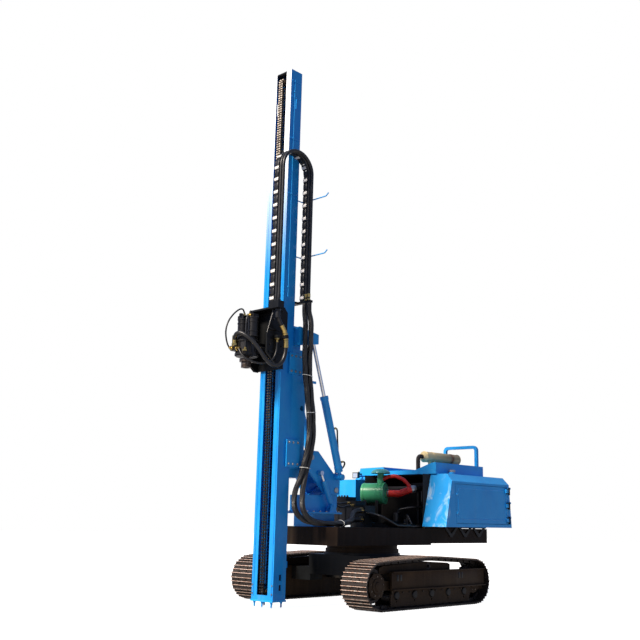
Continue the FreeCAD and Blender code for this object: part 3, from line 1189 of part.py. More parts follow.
ARM_UNDER = CARRIAGE_TOP - 60 - SEAT_GAP
PORT_FACE = SPINDLE_X + 50 + SEAT_GAP
MOTOR_SIDE = MOTOR_Y + MOTOR_RADIUS + SEAT_GAP
HEAD_HOSES = (56.0, 26.0, 22.0, 24.0)
THIN_HOSES = {
    "hoses_head": [
        [(2238, 352, ARM_UNDER), (2238, 352, 3890), (2185, 360, 3790), (2098, 364, 3680), (2070, 364, 3540),
         (2076, 362, 3390), (2122, 358, 3262), (2215, 354, 3192), (2325, 348, 3196), (2420, 330, 3272),
         (2512, 292, 3400), (2586, 236, 3508), (2644, 156, 3586), (2672, 75, 3626), (2676, 0, 3618),
         (2656, -52, 3570), (PORT_FRONT - 24, -66, 3520), (PORT_FRONT - 24, -66, PORT_TOP + SEAT_GAP)],
        [(2180, 296, HEAD_CLAMP_Z - SEAT_GAP), (2180, 296, 3510), (2186, 294, 3400), (2236, 290, 3290),
         (2340, 286, 3225), (2470, 258, 3205), (2580, 192, 3236), (2638, 110, 3300), (2648, 56, 3376),
         (2640, 22, 3418), (2640, -20 + SEAT_GAP, 3418)],
        [(2450, -MOTOR_Y, MOTOR_TOP + 50 + SEAT_GAP), (2450, -MOTOR_Y, 3965), (2488, -MOTOR_Y, 4020),
         (2566, -MOTOR_Y, 3990), (2664, -MOTOR_Y, 3900), (2744, -MOTOR_Y, 3786), (2778, -MOTOR_Y, 3664),
         (2764, -MOTOR_Y, 3550), (2736, -98, 3462), (2706, -90, 3425), (PORT_FRONT + SEAT_GAP, -90, 3425)],
        [(PORT_FACE, MOTOR_Y, 3885), (2556, MOTOR_Y, 3885), (2588, 106, 3845), (2598, 108, 3740),
         (2596, 110, 3600), (2594, 108, 3480), (2594, 108, LOW_PORT_TOP + SEAT_GAP)],
    ],
    "hoses_tilt": [
        [(810.2, TILT_Y, 1972.5), (752, TILT_Y, 1992), (706, 255, 1988), (676, 234, 1960), (672, 206, 1922),
         (692, 182, 1886), (726, 171, 1866), (745, 171, 1842), (745, 171, BOOM_TOP)],
        [(969.4, TILT_Y, 2446.6), (905, TILT_Y, 2468), (862, 261, 2438), (840, 258, 2360), (818, 252, 2240),
         (792, 238, 2120), (768, 216, 2020), (764, 190, 1940), (788, 174, 1880), (800, 171, 1850),
         (800, 171, BOOM_TOP)],
    ],
    "hoses_lift": [
        [(CASE_FACE, -60, 1420), (350, -60, 1420), (470, -58, 1398), (590, -57, 1415), (665, -56, 1500),
         (684, -56, 1600), (704, -56, 1676), (752, -56, 1725), (PIVOT_X + 20 - SEAT_GAP, -56, 1725)],
        [(CASE_FACE, 10, 1380), (350, 10, 1380), (470, 12, 1340), (590, 14, 1362), (660, 16, 1450),
         (676, 17, 1560), (700, 18, 1660), (752, 18, 1725), (PIVOT_X + 20 - SEAT_GAP, 18, 1725)],
    ],
}


# ================================================================ build
def main():
    os.makedirs("parts", exist_ok=True)
    track = build_track()
    save("track_left", track)
    save("track_right", mirrored(track))
    frame = build_track_frame()
    save("track_frame_left", frame)
    save("track_frame_right", mirrored(frame))
    save("idler_wheels", both(build_idler()))
    save("drive_sprockets", both(build_sprocket()))
    rollers = [both(build_bottom_roller(x)) for x in ROLLER_XS]
    save("track_rollers", *rollers, both(build_carrier_roller()))
    save("car_body", build_car_body())
    ring_lower, ring_upper = build_slew_ring()
    save("slew_ring_lower", ring_lower)
    save("slew_ring_upper", ring_upper)

    save("deck_frame", build_deck())
    save("box_brackets", build_box_brackets())
    side_box = build_side_box()
    save("side_box_left", side_box)
    save("side_box_right", join(mirrored(side_box), *build_rear_leaves()))
    door = build_side_door()
    save("side_door_left", door)
    save("side_door_right", mirrored(door))
    save("engine_cowl", build_cowl())
    save("rear_door", build_rear_door())
    save("engine_block", build_engine())
    save("air_cleaner", build_air_cleaner())
    save("pump_block", build_hydraulic_pump())
    save("intake_duct", build_duct())
    save("muffler", build_muffler())
    save("exhaust_pipe", build_exhaust_pipe())
    save("handrail", build_handrail())
    save("box_step", build_nose_box())
    save("valve_bank", build_valve_bank())
    save("work_lamp", build_lamp())
    save("filler_cap", build_filler_cap())

    save("mast_pedestal", build_pedestal())
    save("boom_arm", build_boom())
    lift_barrels, lift_rods = build_lift_cylinders()
    save("lift_barrels", lift_barrels)
    save("lift_rods", lift_rods)
    tilt_barrels, tilt_rods = build_tilt_cylinders()
    save("tilt_barrels", tilt_barrels)
    save("tilt_rods", tilt_rods)

    save("mast_cradle", build_cradle())
    slide_barrel, slide_rod = build_slide_cylinder()
    save("slide_barrel", slide_barrel)
    save("slide_rod", slide_rod)
    save("mast_beam", build_mast())
    save("mast_foot", build_mast_foot())
    save("feed_chain", *build_feed_chain())
    save("chain_sprocket_low", build_sprocket_wheel(CHAIN_LOW_Z))
    save("chain_sprocket_high", build_sprocket_wheel(CHAIN_HIGH_Z))
    bulkhead, guide_rods = build_hose_guides()
    save("hose_bulkhead", bulkhead)
    save("hose_guide_rods", *guide_rods)
    save("carriage", build_carriage())
    save("drill_gearbox", build_gearbox())
    save("drill_motors", build_motors())
    save("drill_chuck", build_chuck())
    arc, rise, follower, drop = build_hose_loop()
    save("hose_loop_top", *arc)
    save("hose_loop_rise", *rise)
    save("hose_loop_link", *follower)
    save("hose_loop_drop", *drop)
    bundles = [flexible("bundle " + side, points, SLEEVE, BUNDLE_CUTS) for side, points in BUNDLES.items()]
    for node, *pair in zip(BUNDLE_NODES, *bundles):
        save(node, *pair)
    for node, hoses in THIN_HOSES.items():
        sizes = HEAD_HOSES if node == "hoses_head" else [THIN_HOSE] * len(hoses)
        save(node, *[solid for points, size in zip(hoses, sizes) for solid in flexible(node, points, size)])


main()
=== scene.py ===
"""Looks of a micro pile drilling rig: a crawler carrier with a tilting mast, feed chain and drill head.

Every length is in metres in the frame of the CAD model: +X towards the mast, +Y to the left, +Z up.
"""
import math

import bmesh
import bpy
import numpy as np
from mathutils import Matrix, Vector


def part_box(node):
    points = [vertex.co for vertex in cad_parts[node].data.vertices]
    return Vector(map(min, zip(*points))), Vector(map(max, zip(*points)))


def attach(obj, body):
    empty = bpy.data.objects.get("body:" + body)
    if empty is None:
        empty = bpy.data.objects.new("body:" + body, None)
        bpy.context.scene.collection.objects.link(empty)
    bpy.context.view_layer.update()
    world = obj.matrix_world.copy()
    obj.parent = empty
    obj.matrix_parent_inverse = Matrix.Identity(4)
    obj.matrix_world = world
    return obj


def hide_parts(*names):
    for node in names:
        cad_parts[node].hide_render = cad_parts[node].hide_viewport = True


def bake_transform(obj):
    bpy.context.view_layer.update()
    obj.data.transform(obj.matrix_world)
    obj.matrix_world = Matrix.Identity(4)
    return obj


bl_info = {
    "name": "Micro pile drilling rig",
    "version": (1, 0, 0),
    "blender": (4, 5, 0),
    "location": "View3D > Sidebar > Rig",
    "description": "Finishes and fine parts of a crawler drilling rig",
    "category": "Object",
}

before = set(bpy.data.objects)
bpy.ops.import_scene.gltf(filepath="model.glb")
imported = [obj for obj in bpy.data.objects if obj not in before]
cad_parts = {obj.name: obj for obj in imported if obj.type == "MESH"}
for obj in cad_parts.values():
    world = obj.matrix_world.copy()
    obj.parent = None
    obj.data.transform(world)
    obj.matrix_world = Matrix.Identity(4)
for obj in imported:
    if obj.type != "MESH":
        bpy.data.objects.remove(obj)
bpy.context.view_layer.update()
TAU = 2 * math.pi
X, Y, Z = np.eye(3)

# places and sizes that several pieces share
WHEEL_X, WHEEL_Z = 1.109, 0.32  # axles of idler and sprocket, from the machine's middle and from the ground
TRACK_Y, SHOE_PITCH, SHOE_TOP = 1.1015, 0.154, 0.030  # chain's middle, pin to pin, pin line to shoe face
GROUSER, GROUSER_TIP = 0.016, 0.0045  # height of a shoe's bar and half the width of its edge
BAR_SHARES = (0.14, 0.5, 0.86)  # places of the three bars along a shoe
FRAME_OUT = 1.2425  # outer face of a track frame
ROLLERS = (0.70, 0.31, -0.08, -0.47, -0.86)
CHAIN_X, CHAIN_LOW, CHAIN_HIGH, CHAIN_RADIUS = 1.925, 0.215, 7.69, 0.052  # feed chain round its sprockets
STRANDS = (-0.068, -0.022)
LOOP_REAR, LOOP_FRONT, LOOP_TOP, LOOP_RADIUS = 1.688, 2.272, 6.13, 0.292  # legs and bend of the hose chain
LOOP_HOSES, LOOP_HOSE_RADIUS = (0.344, 0.396), 0.023
LOOP_FOOT, DROP_FOOT = 4.2163, 4.1  # lower ends of its rising and falling legs
HEAD_X, MOTOR_Y = 2.47, 0.105  # axis of the drill gearbox, and its two motors beside it
MAST_FRONT, MAST_SIDE, MAST_TOP = 2.0085, 0.2095, 7.78
BAY_SIDE, BAY_FLOOR, BAY_ROOF = 0.598, 1.075, 1.885
MUFFLER_Y, MUFFLER_Z, MUFFLER_RADIUS = 0.2, 2.195, 0.0855
HINGE_X, HINGE_Y, HINGE_ZS = -2.443, 1.063, (1.21, 1.4425, 1.675)
VALVE_FACE = 0.2301
TIE = 0.0042  # half the thickness of a cable tie


def rgb(code):
    """Linear colour of an sRGB hex value: the piecewise sRGB curve undone for each channel."""
    part = np.array([int(code[i:i + 2], 16) for i in (1, 3, 5)]) / 255.0
    return tuple(float(v) for v in np.where(part <= 0.04045, part / 12.92, ((part + 0.055) / 1.055) ** 2.4))


# ---------------------------------------------------------------- surfaces
def grid(points, wrap_u=False, wrap_v=False):
    """Surface through points[u, v]: each cell is one face; a wrapped side joins its last row to its first.

    Returns the points, the faces and the (u, v) of each face corner, with u in rows and v from 0 to 1.
    """
    points = np.asarray(points, float)
    nu, nv = points.shape[:2]
    u, v = np.meshgrid(np.arange(nu if wrap_u else nu - 1), np.arange(nv if wrap_v else nv - 1),
                       indexing="ij")
    u, v = u.ravel(), v.ravel()
    corners = [(u, v), (u, v + 1), (u + 1, v + 1), (u + 1, v)]
    faces = np.stack([(a % nu) * nv + b % nv for a, b in corners], 1)
    uv = np.stack([np.stack([a, b / (nv if wrap_v else nv - 1)], 1) for a, b in corners], 1).astype(float)
    return points.reshape(-1, 3), faces, uv


def merge(shapes):
    """Several shapes as one: their arrays end to end, with each one's face numbers moved on."""
    starts = np.cumsum([0] + [len(s[0]) for s in shapes[:-1]])
    return (np.concatenate([s[0] for s in shapes]),
            np.concatenate([s[1] + n for s, n in zip(shapes, starts)]),
            np.concatenate([s[2] for s in shapes]))


def axes_for(direction):
    """Rows (side, side, direction): two unit vectors square to a direction, and the direction."""
    d = np.asarray(direction, float) / np.linalg.norm(direction)
    a = np.cross(d, X if abs(d[0]) < 0.9 else Y)
    a /= np.linalg.norm(a)
    return np.array([a, np.cross(d, a), d])


def on_edge(shape):
    """The same shape with its y and z exchanged, so that a plate stands on edge along x."""
    return shape[0][:, [0, 2, 1]], shape[1], shape[2]


def repeat(shape, places, turns=None):
    """Copies of a shape: place + shape point times a 3 by 3 turn whose rows are the copy's x, y and z."""
    places = np.asarray(places, float).reshape(-1, 3)
    turns = np.broadcast_to(np.eye(3) if turns is None else np.asarray(turns, float), (len(places), 3, 3))
    points = places[:, None] + np.einsum("ki,nij->nkj", shape[0], turns)
    faces = shape[1][None] + (np.arange(len(places)) * len(shape[0]))[:, None, None]
    return points.reshape(-1, 3), faces.reshape(-1, 4), np.tile(shape[2], (len(places), 1, 1))


def lathe(profile, origin=(0, 0, 0), axis=Z, segments=24, lobes=0, depth=0.0):
    """Turned shape: each (radius, height) of the profile swept round the axis.

    With lobes the radius is multiplied by 1 + depth * cos(lobes * angle), which gives a scalloped edge.
    """
    profile = np.asarray(profile, float)
    angle = np.arange(segments) * TAU / segments
    a, b, d = axes_for(axis)
    radius = profile[:, :1] * (1 + depth * np.cos(lobes * angle))
    points = (np.asarray(origin) + profile[:, 1][:, None, None] * d
              + radius[..., None] * (np.cos(angle)[:, None] * a + np.sin(angle)[:, None] * b))
    return grid(points, wrap_v=True)


def slab(outline, low, high, bevel=0.001):
    """Flat plate: a star-shaped outline in x and y, from z low to high, its edges drawn in by the bevel."""
    outline = np.asarray(outline, float)
    middle = outline.mean(0)
    reach = np.linalg.norm(outline - middle, axis=1, keepdims=True)
    inner = middle + (outline - middle) * (1 - bevel / reach)
    rows = [(middle + 0 * outline, low), (inner, low), (outline, low + bevel), (outline, high - bevel),
            (inner, high), (middle + 0 * outline, high)]
    return grid(np.stack([np.column_stack([xy, np.full(len(xy), z)]) for xy, z in rows]), wrap_v=True)


def rounded(width, height, radius, steps=4, centre=(0, 0)):
    """Outline of a rectangle with quarter-circle corners."""
    angle = (np.arange(4)[:, None] * 90 + np.linspace(0, 90, steps)).ravel() * math.pi / 180
    sx = np.repeat([1, -1, -1, 1], steps) * (width / 2 - radius)
    sy = np.repeat([1, 1, -1, -1], steps) * (height / 2 - radius)
    return np.column_stack([centre[0] + sx + radius * np.cos(angle), centre[1] + sy + radius * np.sin(angle)])


def block(low, high, radius=0.004, axis=2):
    """Box between two corners: rounded upright edges and bevelled ends, upright along one of three axes."""
    low, high = np.minimum(low, high).astype(float), np.maximum(low, high).astype(float)
    p, q = (axis + 1) % 3, (axis + 2) % 3
    size = high - low
    radius = min(radius, 0.45 * size[p], 0.45 * size[q])
    shape = slab(rounded(size[p], size[q], radius, 3, ((low[p] + high[p]) / 2, (low[q] + high[q]) / 2)),
                 low[axis], high[axis], min(radius, 0.3 * size[axis]))
    order = np.zeros((3, 3))
    order[0, p] = order[1, q] = order[2, axis] = 1
    return shape[0] @ order, shape[1], shape[2]


def carried(line, closed=False):
    """Sides (across, across, along) for every point of a line: the first pair is slid on without twist."""
    line = np.asarray(line, float)
    if closed:
        along = np.roll(line, -1, 0) - np.roll(line, 1, 0)
    else:
        along = np.gradient(line, axis=0)
    along /= np.linalg.norm(along, axis=1, keepdims=True)
    sides = np.zeros((len(line), 3))
    side = axes_for(along[0])[0]
    for i, t in enumerate(along):
        side = side - t * (side @ t)
        side /= np.linalg.norm(side)
        sides[i] = side
    return sides, np.cross(along, sides), along


def tube(line, radius, segments=16, closed=False):
    """Round bar with closed ends along a line; its radius is a number, or one for each ring and angle."""
    line = np.asarray(line, float)
    a, b, _ = carried(line, closed)
    angle = np.arange(segments) * TAU / segments
    radius = np.broadcast_to(np.asarray(radius, float).reshape(-1, 1) if np.ndim(radius) == 1 else radius,
                             (len(line), segments))
    rings = line[:, None] + radius[..., None] * (np.cos(angle)[:, None] * a[:, None]
                                                 + np.sin(angle)[:, None] * b[:, None])
    if closed:
        return grid(rings, wrap_u=True, wrap_v=True)
    ends = [np.repeat(line[i][None, None], segments, 1) for i in (0, -1)]
    return grid(np.concatenate([ends[0], rings, ends[1]]), wrap_v=True)


def arc_line(points, bend, step=0.01):
    """Line of straight runs joined by circular arcs of one bend radius, every few millimetres."""
    points = np.asarray(points, float)
    rows = [points[:1]]
    for p, q, r in zip(points, points[1:], points[2:]):
        into, out = (q - p) / np.linalg.norm(q - p), (r - q) / np.linalg.norm(r - q)
        turn = math.acos(max(-1.0, min(1.0, float(into @ out))))
        if turn < 1e-3:
            continue
        back = min(bend * math.tan(turn / 2), 0.49 * np.linalg.norm(q - p), 0.49 * np.linalg.norm(r - q))
        radius = back / math.tan(turn / 2)
        centre = q + (out - into) / np.linalg.norm(out - into) * radius / math.cos(turn / 2)
        start, share = q - into * back - centre, np.linspace(0, 1, max(4, int(radius * turn / step)))[:, None]
        normal = out - into * math.cos(turn)
        normal /= np.linalg.norm(normal)
        rows.append(centre + start * np.cos(share * turn) + into * radius * np.sin(share * turn))
    rows.append(points[-1:])
    return np.concatenate(rows)


def piece(name, parts, body, angle=32.0):
    """One object from (shape, material) pairs, merged where points meet, faced outwards and riding a body."""
    shapes = [p[0] for p in parts]
    points, faces, uv = merge(shapes)
    mesh = bpy.data.meshes.new(name)
    mesh.from_pydata(points.tolist(), [], faces.tolist())
    mesh.uv_layers.new(name="UVMap").data.foreach_set("uv", uv.reshape(-1).astype(np.float32))
    kinds = []
    for _, material in parts:
        if material not in kinds:
            kinds.append(material)
    for material in kinds:
        mesh.materials.append(material)
    numbers = np.concatenate([np.full(len(s[1]), kinds.index(m)) for s, m in parts])
    mesh.polygons.foreach_set("material_index", numbers.astype(np.int32))
    work = bmesh.new()
    work.from_mesh(mesh)
    bmesh.ops.remove_doubles(work, verts=work.verts, dist=2e-6)
    bmesh.ops.dissolve_degenerate(work, edges=work.edges, dist=1e-7)
    bmesh.ops.recalc_face_normals(work, faces=work.faces)
    work.to_mesh(mesh)
    work.free()
    mesh.polygons.foreach_set("use_smooth", np.ones(len(mesh.polygons), bool))
    mesh.set_sharp_from_angle(angle=math.radians(angle))
    made = bpy.data.objects.new(name, mesh)
    bpy.context.scene.collection.objects.link(made)
    if body:
        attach(made, body)
    return made


def bolts(places, axis, size):
    """Hexagon bolts on washers: a chamfered six-sided head turned on each place; size is half its width."""
    head = lathe([(0, 0), (size, 0), (size, size * 0.95), (size * 0.82, size * 1.2), (0, size * 1.2)],
                 segments=6)
    washer = lathe([(0, 0), (size * 1.35, 0), (size * 1.35, size * 0.22), (0, size * 0.22)], segments=16)
    return repeat(merge([head, washer]), places, axes_for(axis))


# ---------------------------------------------------------------- finishes
def join(source, socket):
    """Links a node's first output, or the given output, to a socket."""
    output = source.outputs[0] if isinstance(source, bpy.types.Node) else source
    socket.id_data.links.new(output, socket)


def add(tree, kind, inputs=None, stops=None, **settings):
    """Adds a node with its settings; inputs maps a socket to a value, an output or a node's first output."""
    made = tree.nodes.new("ShaderNode" + kind)
    for key, value in settings.items():
        setattr(made, key, value)
    if stops:
        ramp = made.color_ramp
        for i, (place, colour) in enumerate(stops):
            mark = ramp.elements[i] if i < 2 else ramp.elements.new(place)
            mark.position, mark.color = place, (*colour, 1.0)
    for key, value in (inputs or {}).items():
        socket = made.inputs[key]
        if isinstance(value, (bpy.types.Node, bpy.types.NodeSocket)):
            join(value, socket)
        elif isinstance(value, tuple) and len(value) == 3 and socket.type == "RGBA":
            socket.default_value = (*value, 1.0)
        else:
            socket.default_value = value
    return made


def start(name, **shader):
    """A material on Object coordinates; returns the material, its tree, its shader and the coordinates."""
    material = bpy.data.materials.get(name)
    if material:
        bpy.data.materials.remove(material)
    material = bpy.data.materials.new(name)
    material.use_nodes = True
    tree = material.node_tree
    tree.nodes.clear()
    bsdf = add(tree, "BsdfPrincipled", {key.replace("_", " "): value for key, value in shader.items()})
    add(tree, "OutputMaterial", {"Surface": bsdf})
    return material, tree, bsdf, add(tree, "TexCoord").outputs["Object"]


def wire(shader, **sources):
    """Joins nodes to the shader's sockets, an underscore standing for the space in a socket's name."""
    for name, source in sources.items():
        join(source, shader.inputs[name.replace("_", " ")])


def finish(name):
    """The material that was made under this name."""
    return bpy.data.materials[name]


def enamel(name, colour, faded, bare, roughness=0.32, dust=0.25, chips=0.5, orange=0.02, shine=0.35):
    """Sprayed machinery enamel on welded plate.

    Colour drifts between fresh and faded over half a metre, road dust gathers towards the ground, small chips
    show the bare metal, and the film has the fine orange-peel dimples of a spray gun.
    """
    material, tree, bsdf, at = start(name, Roughness=roughness, Coat_Weight=0.3 * shine, Coat_Roughness=0.18,
                                     Specular_IOR_Level=shine)
    drift = add(tree, "TexNoise", {"Vector": at, "Scale": 2.1, "Detail": 5.0, "Roughness": 0.6})
    base = add(tree, "ValToRGB", {"Fac": drift}, stops=[(0.35, colour), (0.72, faded)])
    # streaks run down the plates: noise pressed flat along the upright axis
    squeeze = add(tree, "Mapping", {"Vector": at, "Scale": (9.0, 9.0, 0.9)})
    streak = add(tree, "TexNoise", {"Vector": squeeze, "Scale": 1.0, "Detail": 4.0})
    streaks = add(tree, "ValToRGB", {"Fac": streak}, stops=[(0.52, (0, 0, 0)), (0.8, (1, 1, 1))])
    height = add(tree, "SeparateXYZ", {"Vector": at})
    low = add(tree, "MapRange", {"Value": height.outputs["Z"], "From Min": 1.3, "From Max": 0.1,
                                 "To Min": 0.25, "To Max": 1.0})
    dirt = add(tree, "Math", {0: streaks, 1: low}, operation="MULTIPLY")
    dirt = add(tree, "Math", {0: dirt, 1: dust}, operation="MULTIPLY")
    dusty = add(tree, "MixRGB", {"Fac": dirt, "Color1": base, "Color2": rgb("#8C7F6C")})
    # chips a few millimetres wide, in loose groups
    fine = add(tree, "TexNoise", {"Vector": at, "Scale": 95.0, "Detail": 3.0, "Roughness": 0.7})
    group = add(tree, "TexNoise", {"Vector": at, "Scale": 5.0, "Detail": 2.0})
    both = add(tree, "Math", {0: fine, 1: group}, operation="MULTIPLY")
    edge = 0.47 - 0.05 * chips
    chip = add(tree, "ValToRGB", {"Fac": both}, stops=[(edge, (0, 0, 0)), (edge + 0.015, (1, 1, 1))])
    top = add(tree, "MixRGB", {"Fac": chip, "Color1": dusty, "Color2": bare})
    gloss = add(tree, "MapRange", {"Value": streak, "To Min": roughness * 0.75, "To Max": roughness * 1.5})
    peel = add(tree, "TexNoise", {"Vector": at, "Scale": 160.0, "Detail": 1.0})
    dent = add(tree, "TexNoise", {"Vector": at, "Scale": 6.0, "Detail": 2.0})
    soft = add(tree, "Bump", {"Height": dent, "Strength": 0.12, "Distance": 0.02})
    skin = add(tree, "Bump", {"Height": peel, "Strength": 0.12, "Distance": orange * 0.05,
                              "Normal": soft})
    wire(bsdf, Base_Color=top, Roughness=gloss, Normal=skin)
    return material, tree, bsdf, at, top


def front_highlight_enamel(name, colour, faded, bare, front_highlight_colour):
    """Side boxes' blue enamel: pale patches of painted highlight on their front ends, facing the light."""
    material, tree, bsdf, at, top = enamel(name, colour, faded, bare)
    place = add(tree, "SeparateXYZ", {"Vector": at})
    # painted highlight: pale patches on the front ends only
    front = add(tree, "MapRange", {"Value": place.outputs["X"], "From Min": -0.95, "From Max": -0.86})
    wide = add(tree, "Mapping", {"Vector": at, "Scale": (4.0, 5.5, 3.6), "Rotation": (0.5, 0.0, 0.0)})
    cloud = add(tree, "TexNoise", {"Vector": wide, "Scale": 1.0, "Detail": 5.0, "Roughness": 0.55,
                                   "Distortion": 0.8})
    patch = add(tree, "ValToRGB", {"Fac": cloud}, stops=[(0.5, (0, 0, 0)), (0.66, (0.8, 0.8, 0.8))])
    amount = add(tree, "Math", {0: patch, 1: front}, operation="MULTIPLY")
    front_highlighted = add(tree, "MixRGB", {"Fac": amount, "Color1": top, "Color2": front_highlight_colour})
    wire(bsdf, Base_Color=front_highlighted)
    return material


def highlit_mast_enamel(name, colour, faded, bare, highlight_white):
    """The mast's blue enamel: its open front is painted nearly white towards the top, a painted highlight."""
    material, tree, bsdf, at, top = enamel(name, colour, faded, bare)
    place = add(tree, "SeparateXYZ", {"Vector": at})
    # painted highlight: the front face is mixed towards white, more so higher up
    front = add(tree, "MapRange", {"Value": place.outputs["X"], "From Min": 2.002, "From Max": 2.006})
    high = add(tree, "MapRange", {"Value": place.outputs["Z"], "From Min": 4.5, "From Max": 7.0,
                                  "To Max": 0.96}, interpolation_type="SMOOTHSTEP")
    amount = add(tree, "Math", {0: front, 1: high}, operation="MULTIPLY")
    pale = add(tree, "MixRGB", {"Fac": amount, "Color1": top, "Color2": highlight_white})
    wire(bsdf, Base_Color=pale)
    return material


def grease_and_height_tone(name, low_tone, high_tone, low, high, roughness=0.42):
    """Metal whose tone passes from one colour to another over a height, with darker grease in patches."""
    material, tree, bsdf, at = start(name, Roughness=roughness, Metallic=0.15)
    place = add(tree, "SeparateXYZ", {"Vector": at})
    share = add(tree, "MapRange", {"Value": place.outputs["Z"], "From Min": low, "From Max": high},
                interpolation_type="SMOOTHSTEP")
    tone = add(tree, "MixRGB", {"Fac": share, "Color1": low_tone, "Color2": high_tone})
    patches = add(tree, "TexNoise", {"Vector": at, "Scale": 34.0, "Detail": 5.0})
    grease = add(tree, "ValToRGB", {"Fac": patches}, stops=[(0.35, rgb("#8C867F")), (0.55, rgb("#FFFFFF"))])
    dirty = add(tree, "MixRGB", {"Fac": 1.0, "Color1": tone, "Color2": grease},
                blend_type="MULTIPLY")
    wire(bsdf, Base_Color=dirty)
    return material


def worn_steel(name, dark, bright, rust, roughness=0.55, metallic=0.55, share=0.52):
    """Forged or rolled steel in the weather: dark scale, rust in hollows and bright rubbed metal between."""
    material, tree, bsdf, at = start(name, Roughness=roughness, Metallic=metallic)
    rub = add(tree, "TexNoise", {"Vector": at, "Scale": 26.0, "Detail": 6.0, "Roughness": 0.7})
    tone = add(tree, "ValToRGB", {"Fac": rub}, stops=[(0.3, dark), (share, rust), (0.74, bright)])
    rough = add(tree, "MapRange", {"Value": rub, "To Min": roughness * 1.3, "To Max": roughness * 0.6})
    pits = add(tree, "TexNoise", {"Vector": at, "Scale": 240.0, "Detail": 4.0})
    bump = add(tree, "Bump", {"Height": pits, "Strength": 0.4, "Distance": 0.002})
    wire(bsdf, Base_Color=tone, Roughness=rough, Normal=bump)
    return material


def plated(name, colour, roughness=0.3, grain=60.0):
    """Plated or drawn metal: even colour with faint lengthwise marks that spread its highlight."""
    material, tree, bsdf, at = start(name, Metallic=1.0, Roughness=roughness)
    marks = add(tree, "TexNoise", {"Vector": at, "Scale": grain, "Detail": 3.0})
    tone = add(tree, "ValToRGB", {"Fac": marks},
               stops=[(0.2, tuple(0.7 * c for c in colour)), (0.7, colour)])
    rough = add(tree, "MapRange", {"Value": marks, "To Min": roughness * 0.7, "To Max": roughness * 1.4})
    wire(bsdf, Base_Color=tone, Roughness=rough)
    return material


def rubber(name, colour, ridge=0.0, pitch=0.02, roughness=0.5):
    """Moulded rubber: matt, slightly greyed by dust. With a ridge it carries a spiral guard, whose turns
    follow the hose: u of its map counts rings and v goes once round."""
    material, tree, bsdf, at = start(name, Roughness=roughness, Specular_IOR_Level=0.4)
    dust = add(tree, "TexNoise", {"Vector": at, "Scale": 9.0, "Detail": 5.0, "Roughness": 0.65})
    tone = add(tree, "ValToRGB", {"Fac": dust},
               stops=[(0.4, colour), (0.85, tuple(c * 2.2 + 0.012 for c in colour))])
    grain = add(tree, "TexNoise", {"Vector": at, "Scale": 420.0, "Detail": 2.0})
    bump = add(tree, "Bump", {"Height": grain, "Strength": 0.25, "Distance": 0.0006})
    if ridge:
        uv = add(tree, "SeparateXYZ", {"Vector": add(tree, "UVMap", uv_map="UVMap")})
        turns = add(tree, "Math", {0: uv.outputs["X"], 1: pitch, 2: uv.outputs["Y"]},
                    operation="MULTIPLY_ADD")
        wave = add(tree, "Math", {0: add(tree, "Math", {0: turns, 1: TAU}, operation="MULTIPLY")},
                   operation="SINE")
        bump = add(tree, "Bump", {"Height": wave, "Strength": 1.0, "Distance": ridge,
                                  "Normal": bump})
        pale = add(tree, "MapRange", {"Value": wave, "From Min": 0.6, "From Max": 1.0, "To Max": 0.35})
        tone = add(tree, "MixRGB", {"Fac": pale, "Color1": tone, "Color2": rgb("#55534E")})
    wire(bsdf, Base_Color=tone, Normal=bump)
    return material


def hot_steel(name, sheet, cream, rust):
    """Muffler of aluminised sheet: grey-beige, scorched pale at the front, with a rusted band behind."""
    material, tree, bsdf, at = start(name, Roughness=0.5, Metallic=0.35)
    place = add(tree, "SeparateXYZ", {"Vector": at})
    stain = add(tree, "TexNoise", {"Vector": at, "Scale": 7.0, "Detail": 6.0})
    along = add(tree, "Math", {0: stain, 1: 0.16, 2: place.outputs["X"]}, operation="MULTIPLY_ADD")
    share = add(tree, "MapRange", {"Value": along, "From Min": -2.2, "From Max": -1.1})
    tone = add(tree, "ValToRGB", {"Fac": share},
               stops=[(0.0, sheet), (0.9, cream), (0.3, rust), (0.22, sheet), (0.36, sheet)])
    bump = add(tree, "Bump", {"Height": stain, "Strength": 0.2, "Distance": 0.004})
    wire(bsdf, Base_Color=tone, Normal=bump)
    return material


def clear_glass(name):
    """Moulded lamp lens: clear glass over a bright reflector, with its vertical flutes as fine ridges."""
    material, tree, bsdf, at = start(name, Base_Color=rgb("#E8EDF0"), Roughness=0.08, Metallic=0.6,
                                     Coat_Weight=1.0, Coat_Roughness=0.02)
    flutes = add(tree, "TexWave", {"Vector": at, "Scale": 60.0}, bands_direction="Y")
    bump = add(tree, "Bump", {"Height": flutes.outputs["Fac"], "Strength": 0.3, "Distance": 0.002})
    wire(bsdf, Normal=bump)
    return material


# ---------------------------------------------------------------- settings
def paint_property(name, description, code):
    """A colour property whose default is an sRGB hex value."""
    return bpy.props.FloatVectorProperty(name=name, description=description, subtype="COLOR", size=3, min=0,
                                         max=1, default=rgb(code))


class RigColours(bpy.types.PropertyGroup):
    blue: paint_property("Blue", "Enamel of mast, boom and housing", "#1D98E4")
    blue_faded: paint_property("Faded blue", "Enamel where sun has worked on it", "#28A6EE")
    chassis: paint_property("Chassis", "Primer brown of deck and track frames", "#2A1E13")
    chassis_dust: paint_property("Dusty chassis", "The same primer under dust", "#3A2C1E")
    cleaner: paint_property("Air cleaner", "Green enamel of the air cleaner", "#37885E")
    duct: paint_property("Duct", "Red silicone of the intake ducts", "#B01C14")
    steel: paint_property("Track steel", "Dark scale on shoes and links", "#1A1613")
    rubber: paint_property("Rubber", "Hose covers", "#101011")
    brass: paint_property("Fittings", "Yellow passivated hose fittings", "#CDB06A")
    bar: paint_property("Chain bars", "Aluminium cross bars of the hose chain", "#C9C7C0")


